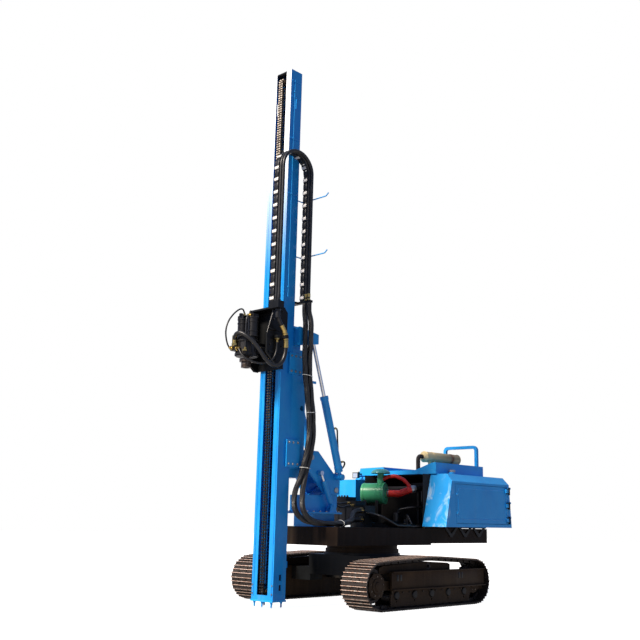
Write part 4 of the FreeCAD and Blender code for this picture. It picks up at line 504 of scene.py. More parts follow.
class RigSizes(bpy.types.PropertyGroup):
    shoes: bpy.props.IntProperty(name="Shoes", description="Shoes on each track", default=40, min=20, max=60)
    links: bpy.props.IntProperty(name="Feed links", description="Links round the feed chain", default=400,
                                 min=100)
    bar_pitch: bpy.props.FloatProperty(name="Bar pitch", description="Between cross bars of the hose chain",
                                       default=0.2, unit="LENGTH")
    sleeve: bpy.props.FloatProperty(name="Bundle", description="Width of a hose bundle", default=0.078,
                                    unit="LENGTH")
    hose: bpy.props.FloatProperty(name="Hose", description="Width of a single hose", default=0.024,
                                  unit="LENGTH")
    key: bpy.props.FloatProperty(name="Key light", description="Strength of the key light", default=5.8)
    fill: bpy.props.FloatProperty(name="Fill light", description="Strength of the surroundings", default=0.18)


# ---------------------------------------------------------------- hoses
# Control points in millimetres. They start as the CAD tubes' own; the bundles hang further forward than
# those, and the second tilt hose passes further in.
BUNDLES = {
    "front": [(1681, 318, 4183.7), (1681, 318, 4060), (1690, 345, 3930), (1700, 368, 3790), (1710, 374, 3530),
              (1696, 368, 3220), (1640, 368, 2900), (1590, 366, 2640), (1555, 356, 2400), (1545, 336, 2190),
              (1562, 302, 2000), (1604, 294, 1830), (1670, 292, 1660), (1765, 305, 1500), (1785, 325, 1320),
              (1680, 335, 1175), (1450, 340, 1118), (1160, 334, 1108), (880, 322, 1112), (640, 278, 1130),
              (440, 190, 1180), (230.3, 190, 1180)],
    "back": [(1681, 400, 4183.7), (1681, 400, 4060), (1664, 430, 3930), (1655, 436, 3780), (1640, 412, 3530),
             (1616, 378, 3220), (1561, 372, 2900), (1511, 368, 2640), (1476, 358, 2400), (1466, 338, 2190),
             (1482, 302, 2000), (1526, 290, 1830), (1596, 316, 1670), (1690, 388, 1510), (1725, 416, 1330),
             (1630, 428, 1180), (1420, 425, 1118), (1130, 420, 1108), (860, 410, 1112), (640, 370, 1150),
             (440, 200, 1310), (230.3, 200, 1310)],
}
CUTS = (5, 10, 16)  # a bundle is cut half way between each of these points and the next
# the name of each length between the cuts, and the bodies at its ends
STRETCHES = (("mast", ("mast", "cradle")), ("cradle", ("cradle", "boom")), ("boom", ("boom", "upper")),
             ("deck", ("upper",)))
# single hoses: the bodies at their ends, and the points of each
THIN = {
    "head": (("carriage",), [
        [(2238, 352, 3999.7), (2238, 352, 3890), (2185, 360, 3790), (2098, 364, 3680), (2070, 364, 3540),
         (2076, 362, 3390), (2122, 358, 3262), (2215, 354, 3192), (2325, 348, 3196), (2420, 330, 3272),
         (2512, 292, 3400), (2586, 236, 3508), (2644, 156, 3586), (2672, 75, 3626), (2676, 0, 3618),
         (2656, -52, 3570), (2641, -66, 3520), (2641, -66, 3460.3)],
        [(2180, 296, 3599.7), (2180, 296, 3510), (2186, 294, 3400), (2236, 290, 3290), (2340, 286, 3225),
         (2470, 258, 3205), (2580, 192, 3236), (2638, 110, 3300), (2648, 56, 3376), (2640, 22, 3418),
         (2640, -19.7, 3418)],
        [(2450, -105, 3910.3), (2450, -105, 3965), (2488, -105, 4020), (2566, -105, 3990), (2664, -105, 3900),
         (2744, -105, 3786), (2778, -105, 3664), (2764, -105, 3550), (2736, -98, 3462), (2706, -90, 3425),
         (2665.3, -90, 3425)],
        [(2520.3, 105, 3885), (2556, 105, 3885), (2588, 106, 3845), (2598, 108, 3740), (2596, 110, 3600),
         (2594, 108, 3480), (2594, 108, 3370.3)]]),
    "tilt": (("tilt_barrels", "boom"), [
        [(810.2, 262, 1972.5), (752, 262, 1992), (706, 255, 1988), (676, 234, 1960), (672, 206, 1922),
         (692, 182, 1886), (726, 171, 1866), (745, 171, 1842), (745, 171, 1820.3)],
        [(969.4, 262, 2446.6), (905, 260, 2468), (862, 246, 2438), (838, 224, 2360), (814, 213, 2240),
         (790, 199, 2120), (768, 186, 2020), (764, 180, 1940), (788, 174, 1880), (800, 171, 1850),
         (800, 171, 1820.3)]]),
    "lift": (("upper", "boom"), [
        [(230.3, -60, 1420), (350, -60, 1420), (470, -58, 1398), (590, -57, 1415), (665, -56, 1500),
         (684, -56, 1600), (704, -56, 1676), (752, -56, 1725), (819.7, -56, 1725)],
        [(230.3, 10, 1380), (350, 10, 1380), (470, 12, 1340), (590, 14, 1362), (660, 16, 1450),
         (676, 17, 1560), (700, 18, 1660), (752, 18, 1725), (819.7, 18, 1725)]]),
}


HEAD_WIDTHS = (0.056, 0.026, 0.022, 0.024)  # of the four head hoses, in metres


def smooth_line(points):
    """Points of the NURBS spline of order three whose control points are the route's own, from end to end."""
    data = bpy.data.curves.new("route", "CURVE")
    data.dimensions, data.resolution_u = "3D", 12
    spline = data.splines.new("NURBS")
    spline.points.add(len(points) - 1)
    spline.points.foreach_set("co", np.column_stack([points, np.ones(len(points))]).ravel())
    spline.order_u = 3
    spline.use_endpoint_u = True
    holder = bpy.data.objects.new("route", data)
    bpy.context.scene.collection.objects.link(holder)
    bpy.context.view_layer.update()
    mesh = bpy.data.meshes.new_from_object(holder)
    line = np.zeros(len(mesh.vertices) * 3)
    mesh.vertices.foreach_get("co", line)
    bpy.data.objects.remove(holder)
    bpy.data.curves.remove(data)
    bpy.data.meshes.remove(mesh)
    return line.reshape(-1, 3)


def evenly(line, step):
    """The same line with rings a step apart along its length."""
    run = np.concatenate([[0], np.cumsum(np.linalg.norm(np.diff(line, axis=0), axis=1))])
    at = np.linspace(0, run[-1], max(3, int(round(run[-1] / step)) + 1))
    return np.column_stack([np.interp(at, run, line[:, k]) for k in range(3)]), at, run[-1]


def bundle_radius(at, width, segments, start=0.0):
    """Radius of a sleeve drawn round five hoses: the outline of five touching circles, filled between them by
    the sleeve up to 0.86 of the width, with the circles winding once round in 1.6 m."""
    reach, share, lay, filled = width / 2, math.pi / 5, 1.6, 0.86
    one = reach / (1 + 1 / math.sin(share))
    middle = reach - one
    angle = np.arange(segments) * TAU / segments
    turn = (angle[None] - (at[:, None] + start) * TAU / lay + share) % (2 * share) - share
    lobe = middle * np.cos(turn) + np.sqrt(np.maximum(one ** 2 - (middle * np.sin(turn)) ** 2, 0))
    return np.maximum(lobe, reach * filled)


def fitting(end, inward, radius):
    """Hose end: crimped ferrule with three grooves over the hose, a neck and a hexagon nut at the port."""
    r = radius
    ferrule = lathe([(0, r * 2.0), (r * 1.0, r * 2.0), (r * 1.28, r * 2.1), (r * 1.28, r * 2.9),
                     (r * 1.2, r * 3.0), (r * 1.28, r * 3.1), (r * 1.28, r * 3.7), (r * 1.2, r * 3.8),
                     (r * 1.28, r * 3.9), (r * 1.25, r * 4.7), (r * 1.0, r * 4.8), (0, r * 4.8)], end, inward,
                    20)
    neck = lathe([(0, r * 1.1), (r * 0.85, r * 1.1), (r * 0.85, r * 2.1), (0, r * 2.1)], end, inward, 16)
    nut = lathe([(0, 0), (r * 1.25, 0), (r * 1.45, r * 0.12), (r * 1.45, r * 1.1), (r * 1.25, r * 1.25),
                 (0, r * 1.25)], end, inward, 6)
    return merge([ferrule, neck, nut])


def tie(centre, half_x, half_y, angle=0.0):
    """Cable tie: a flat band round an oval, tilted a little, with its square lock at one side."""
    t = np.arange(48) * TAU / 48
    line = np.column_stack([half_x * np.sign(np.cos(t)) * np.abs(np.cos(t)) ** 0.8,
                            half_y * np.sign(np.sin(t)) * np.abs(np.sin(t)) ** 0.8,
                            math.tan(angle) * half_x * np.cos(t)])
    band = tube(np.asarray(centre) + line, TIE, 8, closed=True)
    lock = block(np.array(centre) + (-0.007, half_y - 0.002, -0.006),
                 np.array(centre) + (0.007, half_y + 0.008, 0.006), 0.002)
    return merge([band, lock])


class RIG_OT_stage(bpy.types.Operator):
    """Adds the camera, the lights, the pale floor and the white surroundings"""
    bl_idname = "rig.stage"
    bl_label = "Stage"
    bl_options = {"REGISTER", "UNDO"}

    def execute(self, context):
        scene, sizes = context.scene, context.scene.rig_sizes
        pitch, roll, yaw = (math.radians(v) for v in (14.187, -1.0508, 42.4868))
        ahead = np.array([-math.cos(yaw), -math.sin(yaw), 0])
        right = np.array([-math.sin(yaw), math.cos(yaw), 0])
        look = math.cos(pitch) * ahead + math.sin(pitch) * Z
        down = math.sin(pitch) * ahead - math.cos(pitch) * Z
        across = math.cos(roll) * right + math.sin(roll) * down
        below = -math.sin(roll) * right + math.cos(roll) * down
        data = bpy.data.cameras.new("camera")
        data.sensor_width, data.lens = 36.0, 50.705
        data.shift_x, data.shift_y = -0.0416, -0.0388
        data.clip_end = 200
        camera = bpy.data.objects.new("camera", data)
        place = (10.6011, 9.3003, 1.1222)
        camera.matrix_world = Matrix([[across[k], -below[k], -look[k], place[k]] for k in range(3)]
                                     + [[0, 0, 0, 1]])
        scene.collection.objects.link(camera)
        scene.camera = camera

        sun = bpy.data.lights.new("key", "SUN")
        sun.energy, sun.angle, sun.color = sizes.key, math.radians(14), (1.22, 1.08, 0.93)
        lamp = bpy.data.objects.new("key", sun)
        direction = np.array([0.77, -0.10, 0.68])
        side, up, back = axes_for(direction)
        lamp.matrix_world = Matrix([[side[k], up[k], back[k], 8 * direction[k]] for k in range(3)]
                                   + [[0, 0, 0, 1]])
        scene.collection.objects.link(lamp)

        def looked_at(tree):
            """Two values: 1 where the camera or a glass looks, and 0.3 where a mirror looks; 0 elsewhere."""
            path = add(tree, "LightPath")
            seen = add(tree, "Math", {0: path.outputs["Is Camera Ray"],
                                      1: path.outputs["Is Transmission Ray"]}, operation="MAXIMUM")
            return seen, add(tree, "Math", {0: path.outputs["Is Glossy Ray"], 1: 0.3}, operation="MULTIPLY")

        # white where the camera, a mirror or a glass looks; softer and bluer where it lights the machine
        world = bpy.data.worlds.new("surroundings")
        scene.world = world
        world.use_nodes = True
        tree = world.node_tree
        tree.nodes.clear()
        seen, shiny = looked_at(tree)
        seen = add(tree, "Math", {0: seen, 1: shiny}, operation="MAXIMUM")
        strength = add(tree, "MapRange", {"Value": seen, "To Min": sizes.fill, "To Max": 1.0})
        tint = add(tree, "MixRGB", {"Fac": seen, "Color1": (0.56, 0.84, 1.62), "Color2": (1.0, 1.0, 1.0)})
        sky = add(tree, "Background", {"Color": tint, "Strength": strength})
        add(tree, "OutputWorld", {"Surface": sky})

        material, tree, bsdf, _ = start("pale_floor", Base_Color=(0.35, 0.35, 0.35, 1), Roughness=0.9,
                                        Specular_IOR_Level=0.0)
        seen, shiny = looked_at(tree)
        glow = add(tree, "Math", {0: seen, 1: 0.97, 2: shiny}, operation="MULTIPLY_ADD")
        bsdf.inputs["Emission Color"].default_value = (1, 1, 1, 1)
        wire(bsdf, Emission_Strength=glow)
        span = np.linspace(-60, 60, 9)
        floor = np.stack(np.meshgrid(span, span, indexing="ij") + [np.zeros((9, 9))], 2)
        mesh = bpy.data.meshes.new("floor")
        points, faces, _ = grid(floor)
        mesh.from_pydata(points.tolist(), [], faces[:, ::-1].tolist())
        mesh.materials.append(material)
        ground = bpy.data.objects.new("floor", mesh)
        scene.collection.objects.link(ground)
        scene.view_settings.view_transform = "Standard"
        return {"FINISHED"}


class RIG_OT_hoses(bpy.types.Operator):
    """Adds the two hose bundles, the single hoses, their fittings and ties"""
    bl_idname = "rig.hoses"
    bl_label = "Hoses"
    bl_options = {"REGISTER", "UNDO"}

    def cord(self, name, node, points, width, bodies, segments, material, start_at, with_pieces=(),
             bundle=False):
        """A tube along the spline of a hose's points, on one body or between two; returns its length."""
        line = smooth_line(np.array(points) / 1000)
        rings, at, length = evenly(line, 0.011 if bundle else 0.006)
        radius = bundle_radius(at, width, segments, start_at) if bundle else np.full(len(rings), width / 2)
        made = piece(name, [(tube(rings, radius, segments), material)],
                     None if len(bodies) == 2 else bodies[0], 60)
        if len(bodies) == 2:
            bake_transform(made)
        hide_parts(node)
        return length

    def execute(self, context):
        colours, sizes = context.scene.rig_colours, context.scene.rig_sizes
        sleeve = rubber("spiral_sleeve", tuple(colours.rubber), ridge=0.0016, pitch=0.7, roughness=0.42)
        cover = rubber("hose_cover", tuple(colours.rubber), roughness=0.38)
        # zinc plate passivated yellow: bright, with a golden cast
        brass = plated("zinc_plate_yellow", tuple(colours.brass), 0.28)
        nylon = rubber("nylon_tie", rgb("#C9CBC6"), roughness=0.35)
        for side, points in BUNDLES.items():
            points = [np.array(p, float) for p in points]
            middles = [(points[c] + points[c + 1]) / 2 for c in CUTS]
            bounds = [0, *(c + 1 for c in CUTS), len(points)]
            done = 0.0
            for k, (name, bodies) in enumerate(STRETCHES):
                route = points[bounds[k]:bounds[k + 1]]
                route = ([middles[k - 1]] if k else []) + route + ([middles[k]] if k < 3 else [])
                done += self.cord(f"bundle_{name}_{side}", f"hoses_{name}", route, sizes.sleeve, bodies, 40,
                                  sleeve, done, bundle=True)
        for name, (bodies, routes) in THIN.items():
            for k, route in enumerate(routes):
                width = HEAD_WIDTHS[k] if name == "head" else sizes.hose
                route = np.array(route, float)
                ends = []
                for j, (end, next_one) in enumerate(((route[0], route[1]), (route[-1], route[-2]))):
                    shape = fitting(end / 1000, next_one - end, width / 2)
                    # the big head hose leaves its arm through a black collar
                    skin = cover if name == "head" and k + j == 0 else brass
                    ends.append(piece(f"fitting_{name}_{k}_{j}", [(shape, skin)],
                                      bodies[min(j, len(bodies) - 1)]))
                self.cord(f"hose_{name}_{k}", f"hoses_{name}", route, width, bodies, 20, cover, 0.0, ends)
        ring = np.arange(48) * TAU / 48
        line = np.column_stack([np.full(48, 0.90), 0.366 + 0.088 * np.cos(ring),
                                1.114 + 0.046 * np.sin(ring)])
        ties = {"cradle": ("cradle", [tie((1.641, 0.372, 3.13), 0.086, 0.047, 0.12),
                                      tie((1.548, 0.367, 2.62), 0.086, 0.046, -0.1)]),
                "boom": ("boom", [tie((1.560, 0.292, 1.855), 0.088, 0.046, 0.06)]),
                "deck": ("upper", [tube(line, TIE, 8, closed=True)])}
        for name, (body, shapes) in ties.items():
            piece("ties_" + name, [(merge(shapes), nylon)], body, 60)
        return {"FINISHED"}


# ---------------------------------------------------------------- finishes of the CAD nodes
class RIG_OT_finishes(bpy.types.Operator):
    """Gives every CAD piece its finish"""
    bl_idname = "rig.finishes"
    bl_label = "Finishes"
    bl_options = {"REGISTER", "UNDO"}

    def execute(self, context):
        c = context.scene.rig_colours
        # sprayed gloss enamel over steel plate: deep and even, with soft highlights and a few pale chips
        fresh, faded, bare = tuple(c.blue), tuple(c.blue_faded), rgb("#7FB2DE")
        blue = enamel("blue_enamel", fresh, faded, bare)[0]
        # the side boxes' front ends and the mast's front carry painted highlights
        side = front_highlight_enamel("blue_enamel_front_highlight", fresh, faded, bare, rgb("#BFE0F6"))
        mast = highlit_mast_enamel("blue_enamel_mast_highlight", rgb("#0D86DA"), rgb("#1E9AE2"), bare, rgb("#F4F9FC"))
        green = enamel("green_enamel", tuple(c.cleaner), rgb("#46A074"), rgb("#8FA39A"), roughness=0.28,
                       dust=0.3, chips=0.8)[0]
        # brushed primer: matt, thick with dimples and chipped down to rust
        primer = dict(roughness=0.6, dust=0.12, chips=1.2, orange=0.05)
        rust = rgb("#4A2C1E")
        chassis = enamel("brown_primer", tuple(c.chassis), tuple(c.chassis_dust), rust, shine=0.12,
                         **primer)[0]
        # the deck gets a darker copy of the frames' primer as painted shade
        deck = enamel("deck_primer_shaded", rgb("#17100B"), rgb("#261A12"), rust, shine=0.1, **primer)[0]
        # satin black on brackets and castings: almost no highlight
        black = enamel("black_enamel", rgb("#0D0E0F"), rgb("#16181A"), rgb("#2E2D2B"), roughness=0.38,
                       dust=0.1, chips=0.6, shine=0.16)[0]
        # castings dark with oil, rolled track steel dulled by earth, and chain steel rubbed bright
        iron = worn_steel("cast_iron_oiled", rgb("#0B0C0D"), rgb("#3A3B3B"), rgb("#191513"), roughness=0.42,
                          metallic=0.3, share=0.66)
        steel = worn_steel("track_steel", tuple(c.steel), rgb("#4A443E"), rgb("#241A14"), roughness=0.62,
                           metallic=0.3)
        chain = worn_steel("chain_steel", rgb("#2A2826"), rgb("#9A958C"), rgb("#51443A"), roughness=0.4,
                           metallic=0.8)
        # ground and chromed rods mirror the surroundings; zinc is grey and spreads them
        chrome = plated("hard_chrome", rgb("#D9DBDD"), 0.12, 20.0)
        zinc = plated("galvanised_steel", rgb("#9FA2A3"), 0.4)
        # exhaust: aluminised sheet stained by heat, and a pipe burnt black
        muffler = hot_steel("muffler_sheet", rgb("#A8946E"), rgb("#F4DCA0"), rgb("#5E3820"))
        pipe = worn_steel("scorched_pipe", rgb("#131211"), rgb("#4A4744"), rgb("#241C18"), roughness=0.7,
                          metallic=0.3)
        # moulded plastic with a low sheen, and soft silicone hose
        plastic = rubber("black_plastic", rgb("#1A1A1A"), roughness=0.35)
        silicone = rubber("red_silicone", tuple(c.duct), roughness=0.4)
        table = {
            blue: "engine_cowl handrail filler_cap box_step mast_pedestal boom_arm lift_barrels tilt_barrels "
                  "mast_cradle mast_foot hose_guide_rods rear_door side_door_left side_door_right",
            side: "side_box_left side_box_right",
            mast: "mast_beam",
            chassis: "track_frame_left track_frame_right slew_ring_lower slew_ring_upper",
            deck: "deck_frame",
            black: "car_body box_brackets carriage hose_bulkhead valve_bank pump_block",
            iron: "drill_gearbox drill_motors engine_block",
            steel: "idler_wheels drive_sprockets track_rollers track_left track_right",
            chain: "chain_sprocket_low chain_sprocket_high feed_chain drill_chuck",
            chrome: "lift_rods tilt_rods slide_rod",
            zinc: "slide_barrel",
            green: "air_cleaner",
            muffler: "muffler",
            pipe: "exhaust_pipe",
            plastic: "work_lamp hoses_mast hoses_cradle hoses_boom hoses_deck hoses_head hoses_lift "
                     "hoses_tilt hose_loop_top hose_loop_rise hose_loop_link hose_loop_drop",
            silicone: "intake_duct",
        }
        for material, names in table.items():
            for name in names.split():
                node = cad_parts[name]
                if not node.material_slots:
                    node.data.materials.append(material)
                for spot in node.material_slots:
                    spot.material = material
        left = [n for n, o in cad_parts.items() if not o.material_slots]
        if left:
            raise RuntimeError(f"no finish on {left}")
        return {"FINISHED"}


# ---------------------------------------------------------------- fine parts
def extruded(top, level, y0, y1):
    """Bar across the machine: a (x, z) top line over a flat underside at one level, from y0 to y1.

    The first and last row fold the top line down on the underside, which closes the ends.
    """
    top = np.asarray(top, float)
    under = np.column_stack([top[:, 0], np.full(len(top), level)])
    ring, flat = np.concatenate([top, under[::-1]]), np.concatenate([under, under[::-1]])
    rows = [np.column_stack([r[:, 0], np.full(len(r), y), r[:, 1]])
            for r, y in ((flat, y0), (ring, y0), (ring, y1), (flat, y1))]
    return grid(np.stack(rows), wrap_v=True)


def steps(line, count):
    """Equal steps along a closed (x, z) line: each step's middle and its (along, across, outward) rows."""
    run = np.concatenate([[0], np.cumsum(np.linalg.norm(np.diff(line, axis=0), axis=1))])
    at = np.linspace(0, run[-1], count + 1)
    pins = np.column_stack([np.interp(at, run, line[:, k]) for k in (0, 1)])
    along = np.diff(pins, axis=0)
    along /= np.linalg.norm(along, axis=1, keepdims=True)
    zero = np.zeros(count)
    turns = np.stack([np.column_stack([along[:, 0], zero, along[:, 1]]), np.tile(Y, (count, 1)),
                      np.column_stack([-along[:, 1], zero, along[:, 0]])], 1)
    middle = (pins[1:] + pins[:-1]) / 2
    return np.column_stack([middle[:, 0], zero, middle[:, 1]]), turns


def belt(count):
    """Steps of a track's chain: arcs round both wheels, a flat bottom and a peak over the carrier roller."""
    radius, carrier_x, lift = 0.274, -0.095, 0.052
    rise = [math.atan2(lift, WHEEL_X - carrier_x), math.atan2(lift, WHEEL_X + carrier_x)]
    rear = np.linspace(-math.pi / 2, -1.5 * math.pi + rise[1], 200)
    front = np.linspace(math.pi / 2 - rise[0], -math.pi / 2, 200)
    line = np.concatenate([np.column_stack([-WHEEL_X + radius * np.cos(rear),
                                            WHEEL_Z + radius * np.sin(rear)]),
                           [(carrier_x, WHEEL_Z + radius + lift)],
                           np.column_stack([WHEEL_X + radius * np.cos(front),
                                            WHEEL_Z + radius * np.sin(front)])])
    return steps(np.concatenate([[line[-1]], line]), count)


def chain_loop(low, high, centre, radius, count):
    """Steps round an upright chain loop in the XZ plane: two straight runs and two half circles."""
    turn = np.linspace(0, math.pi, 40)
    line = np.concatenate([np.column_stack([centre + radius * np.cos(turn), high + radius * np.sin(turn)]),
                           np.column_stack([centre - radius * np.cos(turn), low - radius * np.sin(turn)])])
    return steps(np.concatenate([line, line[:1]]), count)


class RIG_OT_tracks(bpy.types.Operator):
    """Adds shoes with links and bolts, the wheels' covers and the frames' channels, crowns, caps and bolts"""
    bl_idname = "rig.tracks"
    bl_label = "Tracks"
    bl_options = {"REGISTER", "UNDO"}

    def shoes(self, steel, bare):
        """A shoe with its two links, pin and nuts, repeated round each track; the bars' edges are bright."""
        places, turns = belt(bpy.context.scene.rig_sizes.shoes)
        foot, ridge = 0.009, SHOE_TOP + GROUSER
        bars = [(share - 0.5) * SHOE_PITCH for share in BAR_SHARES]
        top = [(-0.47 * SHOE_PITCH, 0.026), (-0.44 * SHOE_PITCH, SHOE_TOP)]
        for s in bars:
            top += [(s - foot, SHOE_TOP), (s - GROUSER_TIP, ridge), (s + GROUSER_TIP, ridge),
                    (s + foot, SHOE_TOP)]
        top += [(0.47 * SHOE_PITCH, 0.029), (0.50 * SHOE_PITCH, 0.0245), (0.62 * SHOE_PITCH, 0.0225)]
        shoe = extruded(top, 0.0205, -0.225, 0.225)
        edge = ridge + 0.0006
        tips = merge([extruded([(s - GROUSER_TIP * 0.9, edge), (s + GROUSER_TIP * 0.9, edge)], ridge - 0.004,
                               -0.2252, 0.2252) for s in bars])
        link = on_edge(slab(rounded(0.166, 0.042, 0.0205, 4), -0.012, 0.012, 0.003))
        pin = lathe([(0, -0.1), (0.017, -0.1), (0.017, 0.1), (0, 0.1)], (-SHOE_PITCH / 2, 0, 0), Y, 10)
        links = merge([repeat(link, [(0, y, 0)]) for y in (-0.072, 0.072)] + [pin])
        nut = lathe([(0, 0), (0.012, 0), (0.012, 0.01), (0.009, 0.012), (0, 0.012)], segments=6)
        nuts = repeat(nut, [(s, y, SHOE_TOP) for s in (-0.0275, 0.0275) for y in (-0.072, 0.072)])
        for name, side in (("left", 1), ("right", -1)):
            at = places + (0, side * TRACK_Y, 0)
            shapes = [(repeat(merge([shoe, links, nuts]), at, turns), steel), (repeat(tips, at, turns), bare)]
            made = piece("shoes_" + name, shapes, "undercarriage", 30)
            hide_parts("track_" + name)

    def covers(self, paint):
        """Hub covers: a plate, scalloped in front, with a dished centre and a ring of cap screws a wheel."""
        dish = [(0.165, -0.05), (0.165, -0.004), (0.15, 0.0), (0.10, 0.0), (0.092, 0.012), (0.06, 0.016),
                (0.052, 0.028), (0.02, 0.032), (0, 0.032)]
        covers, screws = [], []
        for x, lobes in ((WHEEL_X, 9), (-WHEEL_X, 0)):
            for side in (1, -1):
                y = side * FRAME_OUT
                covers.append(lathe(dish, (x, y, WHEEL_Z), (0, side, 0), 72, lobes, 0.03))
                angle = np.arange(9) * TAU / 9 + 0.2
                ring = np.column_stack([x + 0.125 * np.cos(angle), np.full(9, y),
                                        WHEEL_Z + 0.125 * np.sin(angle)])
                screws.append(bolts(ring, (0, side, 0), 0.009))
        piece("hub_covers", [(merge(covers), paint)], "undercarriage", 30)
        piece("hub_screws", [(merge(screws), finish("chain_steel"))], "undercarriage", 30)

    def frames(self, steel, paint):
        """Roller end caps, bolts along the beam, the low crown on each beam and the channel outside it."""
        black = finish("black_enamel")
        caps = [lathe([(0.054, -0.012), (0.054, 0.006), (0.044, 0.016), (0, 0.018)], (x, side * 1.243, 0.188),
                      (0, side, 0), 24) for x in ROLLERS for side in (1, -1)]
        rows = [(x, 1.2418, z) for x in np.linspace(-0.78, 0.72, 11) for z in (0.225, 0.455)]
        crown = [(-0.62, 0.565), (-0.56, 0.588), (-0.095, 0.611), (0.45, 0.591), (0.90, 0.570), (0.98, 0.545)]
        crowns = [extruded(crown, 0.47, low, high) for low, high in ((1.03, 1.17), (-1.17, -1.03))]
        # the channel's web, two flanges, two end plates, and four black patches: painted shade of slots in
        # the web
        rear, front = -1.335, 0.845
        web = [((-1.33, 1.272, 0.27), (0.84, 1.280, 0.49)), ((rear, FRAME_OUT, 0.488), (front, 1.314, 0.501)),
               ((rear, FRAME_OUT, 0.258), (front, 1.314, 0.271)),
               ((rear, FRAME_OUT, 0.27), (-1.327, 1.28, 0.49)),
               ((0.837, FRAME_OUT, 0.27), (front, 1.28, 0.49))]
        slots = [((x, 1.2795, 0.375), (x + 0.045, 1.2815, 0.455)) for x in (0.70, 0.63, -0.72, -0.79)]
        web, slots = (merge([block(*corners, 0.002) for low, high in group
                             for corners in ((low, high), ((low[0], -high[1], low[2]),
                                                           (high[0], -low[1], high[2])))])
                      for group in (web, slots))
        piece("frame_channels", [(web, paint), (slots, black)], "undercarriage", 30)
        piece("beam_crowns", [(merge(crowns), paint)], "undercarriage", 30)
        piece("roller_caps", [(merge(caps), black)], "undercarriage", 30)
        piece("frame_bolts", [(bolts(rows, Y, 0.011), steel)], "undercarriage", 30)

    def execute(self, context):
        # edges of the bars: worn bare by the ground, and painted near white as glints
        bare = worn_steel("grouser_edge_glint", rgb("#7C736A"), rgb("#FBF6EC"), rgb("#C29A84"), roughness=0.4,
                          metallic=0.3, share=0.44)
        self.shoes(finish("track_steel"), bare)
        self.covers(finish("brown_primer"))
        self.frames(finish("track_steel"), finish("brown_primer"))
        return {"FINISHED"}


